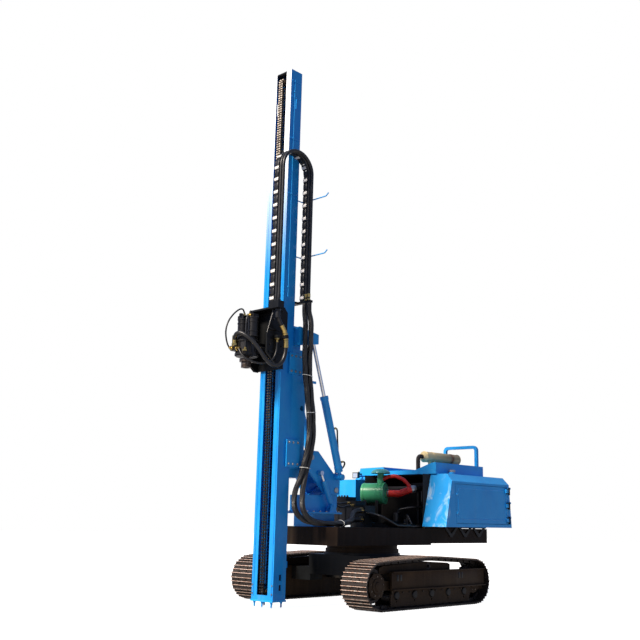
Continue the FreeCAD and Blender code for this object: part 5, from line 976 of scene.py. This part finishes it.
class RIG_OT_chains(bpy.types.Operator):
    """Adds the feed chain with its block rollers, and the hose chain with its bars, plates and hoses"""
    bl_idname = "rig.chains"
    bl_label = "Chains"
    bl_options = {"REGISTER", "UNDO"}

    def feed(self, count):
        """Two strands of plates and rollers round the mast's sprockets."""
        dark = worn_steel("feed_link", rgb("#080707"), rgb("#2E2A27"), rgb("#120E0C"), roughness=0.5,
                          metallic=0.4)
        # the rollers are dark low down and painted bright higher up, a painted highlight; grease darkens them
        # in patches
        bright = grease_and_height_tone("feed_roller", rgb("#1A1715"), rgb("#E9DCCB"), 2.2, 5.0)
        places, turns = chain_loop(CHAIN_LOW, CHAIN_HIGH, CHAIN_X, CHAIN_RADIUS, count)
        plate = on_edge(slab([(-0.024, 0), (-0.017, -0.007), (0, -0.005), (0.017, -0.007), (0.024, 0),
                              (0.017, 0.007), (0, 0.005), (-0.017, 0.007)], -0.002, 0.002, 0.001))
        roll = block((0.0105, -0.0165, -0.0125), (0.0275, 0.0165, 0.0125), 0.002, 1)
        sides = merge([repeat(plate, [(0, y + off, 0)]) for y in STRANDS for off in (-0.019, 0.019)])
        rolls = merge([repeat(roll, [(0, y, 0)]) for y in STRANDS])
        made = piece("feed_links", [(repeat(sides, places, turns), dark),
                                    (repeat(rolls, places, turns), bright)], "mast", 30)
        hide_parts("feed_chain")

    def execute(self, context):
        colours, sizes = context.scene.rig_colours, context.scene.rig_sizes
        self.feed(sizes.links)
        # hose chain: side plates, cross bars on both faces, and the hoses beside it
        nylon, cover, brass = finish("black_plastic"), finish("hose_cover"), finish("zinc_plate_yellow")
        # cast aluminium bars: pale and matt
        bar = worn_steel("aluminium_bar", rgb("#CFCECA"), tuple(colours.bar), rgb("#EAE8E2"), roughness=0.4,
                         metallic=0.15)
        half = sizes.bar_pitch / 2
        web = block((-half * 0.47, 0.239, -0.0195), (half * 0.47, 0.309, 0.0195), 0.008, 1)
        side = on_edge(slab(rounded(half * 1.1, 0.046, 0.022, 4), -0.004, 0.004, 0.0015))
        sides = merge([web] + [repeat(side, [(0, y, 0)]) for y in (0.241, 0.307)])
        rung = merge([block((-0.021, 0.2335, z - 0.0055), (0.021, 0.3145, z + 0.0055), 0.002, 1)
                      for z in (-0.0225, 0.0225)])

        def straight(x, low, high, name, bodies, node, has_fittings=False):
            """A leg at x: frames every half pitch from low to high, a rung on every second, and its hoses."""
            count = max(1, int(round((high - low) / half)))
            z = low + (np.arange(count) + 0.5) * (high - low) / count
            at = np.column_stack([np.full(count, x), np.zeros(count), z])
            rows = np.broadcast_to(np.array([Z, Y, X]), (count, 3, 3))
            hoses = [tube([(x, y, low), (x, y, low + 0.3 * (high - low)), (x, y, high)], LOOP_HOSE_RADIUS, 20)
                     for y in LOOP_HOSES]
            parts = [(repeat(sides, at, rows), nylon), (repeat(rung, at[::2], rows[::2]), bar),
                     (merge(hoses), cover)]
            if has_fittings:
                parts.append((merge([fitting((x, y, low), Z, 0.021) for y in LOOP_HOSES]),
                              brass if x == LOOP_REAR else cover))
            made = piece(name, parts, None if len(bodies) == 2 else bodies[0], 30)
            if len(bodies) == 2:
                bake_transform(made)
            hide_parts(node)

        top = LOOP_TOP - 0.0003
        straight(LOOP_REAR, LOOP_FOOT, top, "loop_rise", ("mast", "loop_top"), "hose_loop_rise", True)
        straight(LOOP_FRONT, LOOP_TOP - 0.06, top, "loop_link", ("loop_link",), "hose_loop_link")
        straight(LOOP_FRONT, DROP_FOOT, top - 0.06, "loop_drop", ("carriage", "loop_link"), "hose_loop_drop",
                 True)
        # the bend: frames and hoses round a half circle
        middle = (LOOP_REAR + LOOP_FRONT) / 2
        count = int(round(math.pi * LOOP_RADIUS / half))
        turn = math.pi - (np.arange(count) + 0.5) * math.pi / count
        cos, sin, zero = np.cos(turn), np.sin(turn), np.zeros(count)
        at = np.column_stack([middle + LOOP_RADIUS * cos, zero, LOOP_TOP + LOOP_RADIUS * sin])
        rows = np.stack([np.column_stack([sin, zero, -cos]), np.tile(Y, (count, 1)),
                         np.column_stack([cos, zero, sin])], 1)
        bend = math.pi - np.linspace(0, 1, 33) * math.pi
        hoses = [tube(np.column_stack([middle + LOOP_RADIUS * np.cos(bend), np.full(33, y),
                                       LOOP_TOP + LOOP_RADIUS * np.sin(bend)]), LOOP_HOSE_RADIUS, 20)
                 for y in LOOP_HOSES]
        shapes = [(repeat(sides, at, rows), nylon), (repeat(rung, at[1::2], rows[1::2]), bar),
                  (merge(hoses), cover)]
        made = piece("loop_crown", shapes, "loop_top", 30)
        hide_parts("hose_loop_top")
        return {"FINISHED"}


class RIG_OT_head(bpy.types.Operator):
    """Adds the drill head's flanges, screws, fittings, ferrules and the clamp of its big hose"""
    bl_idname = "rig.head"
    bl_label = "Drill head"
    bl_options = {"REGISTER", "UNDO"}

    def castings(self, iron):
        """Gearbox rims and ribs, and the bands and glands of its two motors, with their rings of screws."""
        rims = [lathe([(0.15, 0), (0.163, 0), (0.166, 0.004), (0.166, 0.022), (0.163, 0.026), (0.15, 0.026)],
                      (HEAD_X, 0, z), Z, 64) for z in (3.335, 3.52)]
        ribs = []
        for k in range(12):
            angle = k * TAU / 12 + 0.13
            turn = np.array([[math.cos(angle), math.sin(angle), 0],
                             [-math.sin(angle), math.cos(angle), 0], Z])
            ribs.append(repeat(block((0.148, -0.005, 3.36), (0.162, 0.005, 3.52), 0.002), [(HEAD_X, 0, 0)],
                               turn[None]))
        for y in (MOTOR_Y, -MOTOR_Y):
            for z, out in ((3.592, 0.078), (3.66, 0.078), (3.79, 0.076), (3.846, 0.077)):
                rims.append(lathe([(0.072, 0), (out, 0), (out + 0.002, 0.003), (out + 0.002, 0.017),
                                   (out, 0.02), (0.072, 0.02)], (HEAD_X, y, z), Z, 40))
            rims.append(lathe([(0.03, 0), (0.03, 0.03), (0.024, 0.04), (0, 0.04)], (2.51, y, 3.905), Z, 6))
        piece("head_castings", [(merge(rims + ribs), iron)], "carriage", 30)

        def ring(radius, angles, z, y=0.0):
            return [(HEAD_X + radius * math.cos(a), y + radius * math.sin(a), z) for a in angles]

        angle = np.arange(12) * TAU / 12
        caps = np.array([ring(0.062, angle[::3] + 0.7, 3.866, y) for y in (MOTOR_Y, -MOTOR_Y)])
        screws = [bolts(ring(0.156, angle + 0.26, 3.546), Z, 0.008),
                  bolts(ring(0.156, angle + 0.26, 3.335), -Z, 0.008),
                  bolts(caps.swapaxes(0, 1).reshape(-1, 3), Z, 0.007)]
        piece("head_screws", [(merge(screws), iron)], "carriage", 30)

    def big_hose(self, brass, black):
        """Two ferrules of the big head hose and the clamp between them, as sleeves over parts of its line."""
        line, _, _ = evenly(smooth_line(np.array(THIN["head"][1][0]) / 1000), 0.004)
        first = line[:220]

        def sleeve(low, high, radius):
            return tube(first[(first[:, 2] > low) & (first[:, 2] < high)], radius, 24)

        gold = [sleeve(3.665, 3.775, 0.0335), sleeve(3.675, 3.69, 0.0355), sleeve(3.645, 3.665, 0.040),
                sleeve(3.46, 3.575, 0.0335), sleeve(3.475, 3.49, 0.0355), sleeve(3.575, 3.595, 0.040)]
        piece("head_ferrules", [(merge(gold), brass)], "carriage", 30)
        clamp = [sleeve(3.597, 3.643, 0.043), block((2.05, 0.255, 3.594), (2.215, 0.335, 3.636), 0.004),
                 block((2.055, 0.30, 3.60), (2.13, 0.345, 3.634), 0.004)]
        piece("head_clamp", [(merge(clamp), black)], "carriage", 30)
        elbow = tube(arc_line([(2.641, -0.066, 3.60), (2.641, -0.066, 3.50), (2.641, -0.066, 3.455)], 0.02),
                     0.034, 24)
        nut = [(0, 0), (0.03, 0), (0.034, 0.003), (0.034, 0.022), (0.03, 0.025), (0, 0.025)]
        nuts = [lathe(nut, at, way, 6)
                for at, way in (((2.641, -0.066, 3.452), Z), ((2.6, 0.108, 3.372), Z),
                                ((2.663, -0.09, 3.425), X), ((2.45, -0.105, 3.912), Z),
                                ((2.522, 0.105, 3.885), X), ((2.64, -0.022, 3.418), Y),
                                ((2.18, 0.296, 3.598), -Z))]
        piece("head_unions", [(merge([elbow] + nuts), brass)], "carriage", 30)

    def execute(self, context):
        iron, black = finish("cast_iron_oiled"), finish("black_enamel")
        self.castings(iron)
        self.big_hose(finish("zinc_plate_yellow"), black)
        # frame flanges and screws of the carriage
        edges = []
        for side in (1, -1):
            y = side * 0.258
            line = [(2.016, y, 3.19), (2.10, y, 3.19), (2.34, y, 3.39), (2.34, y, 3.66), (2.21, y, 4.06),
                    (2.016, y, 4.06)]
            edges += [tube([a, b], 0.008, 8) for a, b in zip(line, line[1:])]
            edges += [block((2.03, y - 0.004, z - 0.012), (2.30, y + side * 0.012, z + 0.012), 0.003)
                      for z in (3.40, 3.72)]
        spots = [(x, 0.2585, z) for x, z in ((2.06, 3.24), (2.06, 3.5), (2.06, 3.78), (2.06, 4.0),
                                             (2.28, 3.5), (2.22, 3.86), (2.16, 3.3))]
        piece("carriage_edges", [(merge(edges), black)], "carriage", 30)
        piece("carriage_screws", [(bolts(spots, Y, 0.012), iron)], "carriage", 30)
        return {"FINISHED"}


class RIG_OT_housing(bpy.types.Operator):
    """Adds air intake, lamp, bay lining, cooler, engine parts, deck hoses, door fittings, muffler straps"""
    bl_idname = "rig.housing"
    bl_label = "Housing"
    bl_options = {"REGISTER", "UNDO"}

    def intake(self, black, red, cover, zinc):
        """Air cleaner with its rain cap, bands and feet, and the ribbed ducts on their clamps."""
        green = finish("green_enamel")
        # the rain cap is painted a paler, bluer green than the drum: a painted sheen of the sky on its top
        cap_sheen_enamel = enamel("cap_enamel_sky_sheen", rgb("#3F8F8E"), rgb("#5FA6A6"), rgb("#9DB4AE"), roughness=0.25, dust=0.2,
                      chips=0.6)[0]
        turn = math.radians(24.0)
        ahead = np.array([-math.sin(turn), math.cos(turn), 0])
        sideways = np.array([math.cos(turn), math.sin(turn), 0])
        middle = np.array([-0.45, -0.15, 1.585])
        dome = [(0, 0.064), (0.04, 0.063), (0.08, 0.057), (0.115, 0.043), (0.14, 0.024), (0.154, 0.002),
                (0.154, -0.008), (0.146, -0.011), (0.14, -0.005), (0, -0.004)]
        at = middle + 0.1 * ahead
        piece("rain_cap", [(lathe(dome, (at[0], at[1], 1.9), Z, 48), cap_sheen_enamel)], "upper", 40)
        bands = [lathe([(0.154, -w), (0.1585, -w), (0.160, -w * 0.6), (0.160, w * 0.6), (0.1585, w),
                        (0.154, w)], middle + s * ahead, ahead, 64)
                 for s, w in ((-0.155, 0.011), (0.06, 0.009), (0.128, 0.008))]
        rim = lathe([(0.150, 0.183), (0.161, 0.184), (0.1665, 0.181), (0.1665, 0.153), (0.160, 0.149),
                     (0.154, 0.149)], middle, ahead, 64)
        lid = lathe([(0.075, 0.1835), (0.082, 0.190), (0.12, 0.190), (0.127, 0.1835)], middle, ahead, 48)
        collar = lathe([(0.052, 0), (0.058, 0.002), (0.058, 0.018), (0.052, 0.02)], (at[0], at[1], 1.80), Z,
                       32)
        tail = lathe([(0.155, 0), (0.15, -0.008), (0.11, -0.02), (0.05, -0.028), (0, -0.03)],
                     middle - 0.182 * ahead, ahead, 48)
        piece("cleaner_bands", [(merge(bands + [rim, lid, collar, tail]), green)], "upper", 40)
        # black blocks over the cleaner's feet: painted shade under its drum
        feet = repeat(block((-0.113, -0.023, 1.166), (0.113, 0.023, 1.50), 0.003),
                      [(*(middle + s * ahead)[:2], 0) for s in (-0.12, 0.07)], np.array([sideways, ahead, Z]))
        piece("cleaner_feet_shade", [(feet, black)], "upper", 30)

        # the ducts: ripples 28 and 20 mm apart on red silicone, and a smooth black hose from 0.4 m on
        bend, last = middle + 0.413 * ahead, middle + 0.603 * ahead
        route = [middle + 0.2133 * ahead, bend, last + (0, 0, 0.07), last + (-0.32, 0.02, 0.09)]
        line, run, _ = evenly(arc_line(route, 0.11), 0.004)
        near, far = run < 0.40, run > 0.39
        ripple = 0.0515 + 0.0022 * np.sin(run * TAU / 0.028)
        made = piece("ribbed_duct", [(tube(line[near], ripple[near], 40), red),
                                     (tube(line[far], 0.05, 40), cover)], "upper", 60)
        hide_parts("intake_duct")
        thin = [(-0.502, -0.03, 1.80), (-0.545, 0.05, 1.845), (-0.60, 0.16, 1.852), (-0.655, 0.27, 1.80),
                (-0.69, 0.345, 1.715), (-0.693, 0.375, 1.68)]
        breather, along, _ = evenly(arc_line(thin, 0.08), 0.004)
        piece("breather_duct", [(tube(breather, 0.029 + 0.0012 * np.sin(along * TAU / 0.02), 28), red)],
              "upper", 60)
        rings = [tube(line[(run > low) & (run < high)], radius, 40) for low, high, radius in (
            (0.012, 0.028, 0.0555), (0.385, 0.455, 0.0565), (0.395, 0.407, 0.0590), (0.433, 0.445, 0.0590))]
        piece("duct_clamps", [(merge(rings), zinc)], "upper", 40)

    def lamp(self):
        """Work lamp: bezel, cable gland and lens."""
        bezel = [block((-0.802, -0.884, 1.846), (-0.742, -0.771, 1.852), 0.002),
                 block((-0.802, -0.884, 1.932), (-0.736, -0.771, 1.938), 0.002),
                 block((-0.802, -0.884, 1.846), (-0.742, -0.878, 1.938), 0.002),
                 block((-0.802, -0.777, 1.846), (-0.742, -0.771, 1.938), 0.002),
                 lathe([(0.01, 0), (0.01, 0.02), (0.016, 0.022), (0.016, 0.03), (0, 0.03)],
                       (-0.84, -0.8275, 1.925), Z, 12)]
        piece("lamp_bezel", [(merge(bezel), finish("black_plastic"))], "upper", 30)
        lens = block((-0.753, -0.8775, 1.853), (-0.7445, -0.7775, 1.931), 0.006, 0)
        piece("lamp_lens", [(lens, clear_glass("lamp_lens"))], "upper", 30)

    def bay(self, iron, cover):
        """Lining of the engine bay, the cooler, the bay's pipes and filters and the hoses on the deck."""
        # the bay's matt black lining is painted shade inside the engine bay
        bay_shade = rubber("bay_shade_lining", rgb("#0B0B0B"), roughness=0.8)
        rear, front, inner = -2.42, -0.73, BAY_SIDE - 0.006
        lining = [block((rear, -BAY_SIDE, BAY_FLOOR), (front, -inner, BAY_ROOF), 0.002),
                  block((rear, inner, BAY_FLOOR), (front, BAY_SIDE, BAY_ROOF), 0.002),
                  block((-2.46, -0.59, BAY_FLOOR), (-2.454, 0.59, BAY_ROOF), 0.002),
                  block((rear, -0.59, 1.879), (-0.93, 0.59, 1.886), 0.002),
                  block((-1.02, -0.59, 1.30), (-1.012, 0.59, 1.66), 0.002)]
        piece("bay_lining", [(merge(lining), bay_shade)], "upper", 30)
        fins = [block((-1.005, y - 0.0015, 1.12), (-0.965, y + 0.0015, 1.66), 0.0007)
                for y in np.linspace(-0.40, 0.30, 57)]
        tank = [block((-1.01, low, foot), (-0.955, high, top), radius) for low, high, foot, top, radius in (
            (-0.44, 0.34, 1.66, 1.71, 0.012), (-0.44, 0.34, 1.08, 1.12, 0.012),
            (-0.44, -0.41, 1.12, 1.66, 0.004), (0.31, 0.34, 1.12, 1.66, 0.004))]
        piece("cooler", [(merge(fins + tank), iron)], "upper", 30)
        pipes = [tube(arc_line(route, 0.05), radius, 16) for route, radius in (
            (((-0.93, 0.45, 1.08), (-0.93, 0.45, 1.40), (-0.80, 0.52, 1.46), (-0.80, 0.52, 1.62)), 0.016),
            (((-0.72, 0.10, 1.16), (-0.72, 0.12, 1.34), (-0.80, 0.34, 1.38), (-0.95, 0.42, 1.38)), 0.020),
            (((-0.70, -0.46, 1.16), (-0.72, -0.50, 1.42), (-0.86, -0.52, 1.50), (-0.98, -0.5, 1.55)), 0.018),
            (((-0.60, 0.34, 1.07), (-0.60, 0.34, 1.22), (-0.52, 0.46, 1.26), (-0.52, 0.54, 1.12)), 0.014))]
        piece("bay_hoses", [(merge(pipes), cover)], "upper", 40)
        small = [fitting(spot, Z, 0.014) for spot in ((-0.60, 0.34, 1.066), (-0.93, 0.45, 1.066),
                                                      (-0.72, 0.10, 1.163), (-0.70, -0.46, 1.163))]
        filters = [block((-0.66, 0.32, 1.067), (-0.46, 0.50, 1.13), 0.006),
                   lathe([(0, 0), (0.05, 0), (0.05, 0.15), (0.044, 0.16), (0, 0.16)],
                         (-0.83, 0.20, 1.067), Z, 28),
                   lathe([(0, 0), (0.046, 0), (0.046, 0.12), (0.04, 0.13), (0, 0.13)],
                         (-0.56, 0.20, 1.162), Z, 28)]
        piece("bay_filters", [(merge(filters), iron)], "upper", 30)
        # five hoses from the valve bank's side along the deck and up into the bay
        lying = []
        for k in range(5):
            x, out, end = 0.03 + 0.042 * k, 0.40 + 0.036 * k, -1.30 - 0.1 * k
            route = [(x, 0.2515, 1.16 + 0.03 * k), (x, out, 1.15 + 0.02 * k), (-0.16, out + 0.01, 1.10),
                     (-0.62, out - 0.01, 1.092), (-1.05, out - 0.03, 1.10), (end, 0.41, 1.20),
                     (end, 0.3005, 1.26)]
            lying.append(tube(arc_line(route, 0.085, 0.02), 0.0165, 14))
        piece("deck_hoses", [(merge(lying), cover)], "upper", 60)
        piece("bay_unions", [(merge(small), finish("zinc_plate_yellow"))], "upper", 30)

    def doors(self, blue, black):
        """Side doors: pressed bead, two latches, dark hinge barrels and leaves; louvres on the rear door."""
        def on_door(x, z, off=0.0):
            """Point of the door's face, which leans in by 23 mm over its height of 686 mm."""
            return x, 1.049 - (z - 1.092) * 0.023 / 0.686 + off, z

        rear, front, low, high = -2.38, -1.045, 1.21, 1.675
        for name, side in (("left", 1), ("right", -1)):
            flip = np.array([1, side, 1])
            corners = [on_door(x, z, 0.001) for x, z in ((rear, low), (front, low), (front, high),
                                                         (rear, high))]
            seam = (np.array(corners[0]) + corners[3]) / 2
            loop = arc_line([seam, *corners, seam], 0.05, 0.02)[:-1] * flip
            bead = [tube(loop, 0.006, 8, closed=True)]
            for z in (1.30, 1.58):
                spot = np.array(on_door(-1.015, z)) * flip
                bead.append(lathe([(0.0, 0.012), (0.014, 0.012), (0.017, 0.008), (0.024, 0.006), (0.026, 0),
                                   (0, 0)], spot, (0, side, 0.03), 24))
                bead.append(block(spot + (-0.018, -0.002, -0.004), spot + (0.018, side * 0.018, 0.004),
                                  0.002))
            piece("door_bead_" + name, [(merge(bead), blue)], "door_" + name, 60)
            hinges = [lathe([(0, -0.062), (0.0155, -0.062), (0.0155, 0.062), (0, 0.062)],
                            (HINGE_X, side * HINGE_Y, z), Z, 20) for z in HINGE_ZS]
            hinges += [block((-2.44, side * 1.047, z - 0.045), (-2.372, side * 1.056, z + 0.045), 0.003, 1)
                       for z in HINGE_ZS]
            piece("door_fittings_" + name, [(merge(hinges), black)], "door_" + name, 30)
        rails = [block((-2.512, -0.39, 1.404 + 0.055 * k), (-2.498, 0.39, 1.41 + 0.055 * k), 0.002)
                 for k in range(8)]
        piece("rear_louvres", [(merge(rails), blue)], "door_rear", 30)

    def roof(self, steel, zinc):
        """Muffler straps and seams, the joint of its tail pipe, and the filler's lid."""
        r = MUFFLER_RADIUS
        bands = [lathe([(r, -wide), (r + high, 0.002 - wide), (r + high, wide - 0.002), (r, wide)],
                       (x, MUFFLER_Y, MUFFLER_Z), X, 48)
                 for x, wide, high in ((-1.99, 0.016, 0.004), (-1.48, 0.016, 0.004))]
        bands += [lathe([(r, -0.005), (r + 0.005, -0.002), (r + 0.005, 0.002), (r, 0.005)],
                        (x, MUFFLER_Y, MUFFLER_Z), X, 48) for x in (-2.18, -1.28)]
        piece("muffler_straps", [(merge(bands), finish("muffler_sheet"))], "upper", 40)
        joint = lathe([(0.034, 0), (0.052, 0), (0.052, 0.014), (0.034, 0.014)], (-1.25, MUFFLER_Y, MUFFLER_Z),
                      X, 32)
        piece("muffler_joint", [(joint, steel)], "upper", 40)
        knob = [lathe([(0.049, -0.028), (0.053, -0.026), (0.053, 0.004), (0.047, 0.009), (0.02, 0.011),
                       (0, 0.011)], (-1.21, 0.80, 1.955), Z, 48, 12, 0.02),
                lathe([(0.06, 0), (0.06, 0.006), (0, 0.006)], (-1.21, 0.80, 1.894), Z, 32)]
        piece("filler_lid", [(merge(knob), zinc)], "upper", 30)

    def execute(self, context):
        blue, black, iron, zinc, steel, red, cover = map(finish, (
            "blue_enamel", "black_enamel", "cast_iron_oiled", "galvanised_steel", "chain_steel",
            "red_silicone", "hose_cover"))
        self.intake(black, red, cover, zinc)
        self.lamp()
        self.bay(iron, cover)
        self.doors(blue, black)
        self.roof(steel, zinc)
        return {"FINISHED"}


class RIG_OT_frame_detail(bpy.types.Operator):
    """Adds bolts, pins, cylinder glands, valve caps and the mast's strips, conduit, lining, spikes, screws"""
    bl_idname = "rig.frame_detail"
    bl_label = "Frame detail"
    bl_options = {"REGISTER", "UNDO"}

    def fasteners(self, steel, zinc):
        """Bolts under the slew ring, on the pedestal's flange and the cradle, and the boom's pin caps."""
        angle = np.arange(30) * TAU / 30
        low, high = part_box("slew_ring_upper")
        reach = (high[0] - low[0]) / 2 - 0.022
        ring = np.column_stack([reach * np.cos(angle) + (low[0] + high[0]) / 2, reach * np.sin(angle),
                                np.full(30, low[2])])
        piece("ring_bolts", [(bolts(ring, -Z, 0.012), steel)], "upper", 30)
        spots = [(x, y, 1.267) for x in np.linspace(0.82, 1.46, 6) for y in (-0.262, 0.262)]
        spots += [(x, y, 1.267) for x in (0.80, 1.48) for y in np.linspace(-0.2, 0.2, 4)]
        piece("flange_bolts", [(bolts(spots, Z, 0.013), zinc)], "upper", 30)
        plates = [(x, 0.2395, z) for z0, z1 in ((1.86, 2.235), (3.15, 3.45)) for x in (1.66, 1.75, 1.83)
                  for z in (z0 + 0.04, z1 - 0.04)]
        piece("cradle_bolts", [(bolts(plates, Y, 0.013), zinc)], "cradle", 30)
        pins = [lathe([(0.0, 0.012), (0.036, 0.012), (0.04, 0.008), (0.04, -0.004)], (x, 0.187, z), Y, 32)
                for x, z in ((0.80, 1.58), (1.32, 2.02))]
        piece("boom_pins", [(merge(pins), zinc)], "boom", 30)

    def glands(self, blue):
        """A gland at each barrel's open end, a band near its foot; the lift barrel's end is the frame's."""
        lift_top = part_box("lift_barrels")[1][2]
        for name, foot, eye, side_y, r, reach in (
                ("tilt", (0.80, 0, 1.765), (1.45, 0, 3.70), 0.262, 0.056, 1.195),
                ("lift", (0.94, 0, 1.35), (1.17, 0, 1.805), 0.235, 0.040, None)):
            foot, eye = np.array(foot), np.array(eye)
            way = (eye - foot) / np.linalg.norm(eye - foot)
            if reach is None:
                reach = (lift_top - foot[2]) / way[2] - 0.01
            rings = []
            for y in (side_y, -side_y):
                at = foot + (0, y, 0)
                rings.append(lathe([(r * 0.98, -0.055), (r * 1.1, -0.052), (r * 1.1, -0.004), (r * 0.9, 0.0),
                                    (r * 0.5, 0.0)], at + way * reach, way, 40))
                rings.append(lathe([(r * 0.98, -0.01), (r * 1.08, -0.008), (r * 1.08, 0.03),
                                    (r * 0.98, 0.032)], at + way * 0.13, way, 40))
            piece(name + "_glands", [(merge(rings), blue)], name + "_barrels", 30)

    def valves(self, iron, steel):
        """Valve bank: pressed panels, low caps, and two rings of five unions where the bundles end."""
        panels = [block((VALVE_FACE, y - 0.055, 1.15), (0.236, y + 0.055, 1.34), 0.006, 0)
                  for y in (-0.34, -0.20, -0.06)]
        caps = [lathe([(0, 0), (0.016, 0), (0.016, 0.02), (0.01, 0.026), (0, 0.026)], (0.16, y, 1.509), Z, 16)
                for y in np.linspace(-0.40, -0.17, 5)]
        unions = [fitting((VALVE_FACE + 0.0004, y + 0.024 * math.cos(a), z + 0.024 * math.sin(a)), X, 0.012)
                  for y, z in ((0.19, 1.18), (0.20, 1.31)) for a in np.arange(5) * TAU / 5]
        piece("valve_panels", [(merge(panels), iron)], "upper", 30)
        piece("valve_caps", [(merge(caps), steel)], "upper", 30)
        piece("valve_unions", [(merge(unions), finish("zinc_plate_yellow"))], "upper", 30)

    def mast(self, blue, black, zinc):
        """Weld strips beside the slot, conduit, saddles, chain guide, top plate, lining, spikes, screws."""
        # the strips share the mast's enamel, whose front carries a painted highlight
        strips = [block((MAST_FRONT, y - 0.012, 0.16), (MAST_FRONT + 0.004, y + 0.012, MAST_TOP), 0.001)
                  for y in (0.176, -0.176)]
        strips += [block((1.80, MAST_SIDE, z - 0.012), (1.99, MAST_SIDE + 0.006, z + 0.012), 0.002)
                   for z in (5.82, 6.70, 7.37, 7.64)]
        piece("mast_strips", [(merge(strips), finish("blue_enamel_mast_highlight"))], "mast", 30)
        conduit = [tube([(1.93, 0.2175, z) for z in (4.25, 5.5, 7.66)], 0.007, 12)]
        conduit += [block((1.915, MAST_SIDE, z - 0.01), (1.945, 0.228, z + 0.01), 0.003)
                    for z in (4.4, 5.1, 5.82, 6.7, 7.46)]
        piece("mast_conduit", [(merge(conduit), blue)], "mast", 30)
        # the plate behind the chain: blue enamel low down, black with grease higher up
        guide = grease_and_height_tone("chain_guide_enamel", rgb("#1D86D2"), rgb("#0B0C0E"), 2.2, 5.0)
        piece("chain_guide", [(block((1.952, -0.093, 0.32), (1.962, 0.003, 7.58), 0.001, 1), guide),
                              (block((1.784, -0.19, 7.79), (2.004, 0.19, 7.818), 0.002, 1), black)],
              "mast", 30)
        # black sheets on the inner faces of the mast's foot: painted shade inside the mast
        lining = [block((1.795, side * 0.1935, 0.14), (1.96, side * 0.1965, 0.62), 0.001) for side in (1, -1)]
        piece("mast_foot_shade", [(merge(lining), black)], "mast", 30)
        spikes = [lathe([(0, 0), (0.003, 0.0005), (0.0125, 0.022), (0.0125, 0.085), (0, 0.085)],
                        (x, y, 0.012), Z, 16) for x in (1.81, 1.988) for y in (-0.165, -0.015, 0.165)]
        piece("foot_spikes", [(merge(spikes), blue)], "mast", 40)
        holes = [(MAST_FRONT + 0.004, y, z) for y in (0.19, -0.19) for z in (0.19, 0.30)]
        piece("mast_screws", [(bolts(holes, X, 0.009), zinc)], "mast", 30)

    def execute(self, context):
        blue, black, iron, zinc, steel = map(finish, ("blue_enamel", "black_enamel", "cast_iron_oiled",
                                                      "galvanised_steel", "chain_steel"))
        self.fasteners(steel, zinc)
        self.glands(blue)
        self.valves(iron, steel)
        self.mast(blue, black, zinc)
        return {"FINISHED"}


OPERATORS = (RIG_OT_stage, RIG_OT_hoses, RIG_OT_finishes, RIG_OT_tracks, RIG_OT_chains, RIG_OT_head,
             RIG_OT_housing, RIG_OT_frame_detail)


class RIG_PT_panel(bpy.types.Panel):
    """Lists the rig's settings and the pieces that can be made again"""
    bl_idname = "RIG_PT_panel"
    bl_label = "Drilling rig"
    bl_space_type = "VIEW_3D"
    bl_region_type = "UI"
    bl_category = "Rig"

    def draw(self, context):
        for group in (context.scene.rig_sizes, context.scene.rig_colours):
            box = self.layout.box()
            for name in group.__annotations__:
                box.prop(group, name)
        for operator in OPERATORS:
            self.layout.operator(operator.bl_idname)


GROUPS = (RigColours, RigSizes)


def register():
    for kind in (*GROUPS, *OPERATORS, RIG_PT_panel):
        bpy.utils.register_class(kind)
    bpy.types.Scene.rig_colours = bpy.props.PointerProperty(type=RigColours)
    bpy.types.Scene.rig_sizes = bpy.props.PointerProperty(type=RigSizes)


def unregister():
    del bpy.types.Scene.rig_sizes
    del bpy.types.Scene.rig_colours
    for kind in reversed((*GROUPS, *OPERATORS, RIG_PT_panel)):
        bpy.utils.unregister_class(kind)


def main():
    """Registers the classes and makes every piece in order."""
    register()
    for operator in OPERATORS:
        group, name = operator.bl_idname.split(".")
        getattr(getattr(bpy.ops, group), name)()


if __name__ == "__main__":
    main()
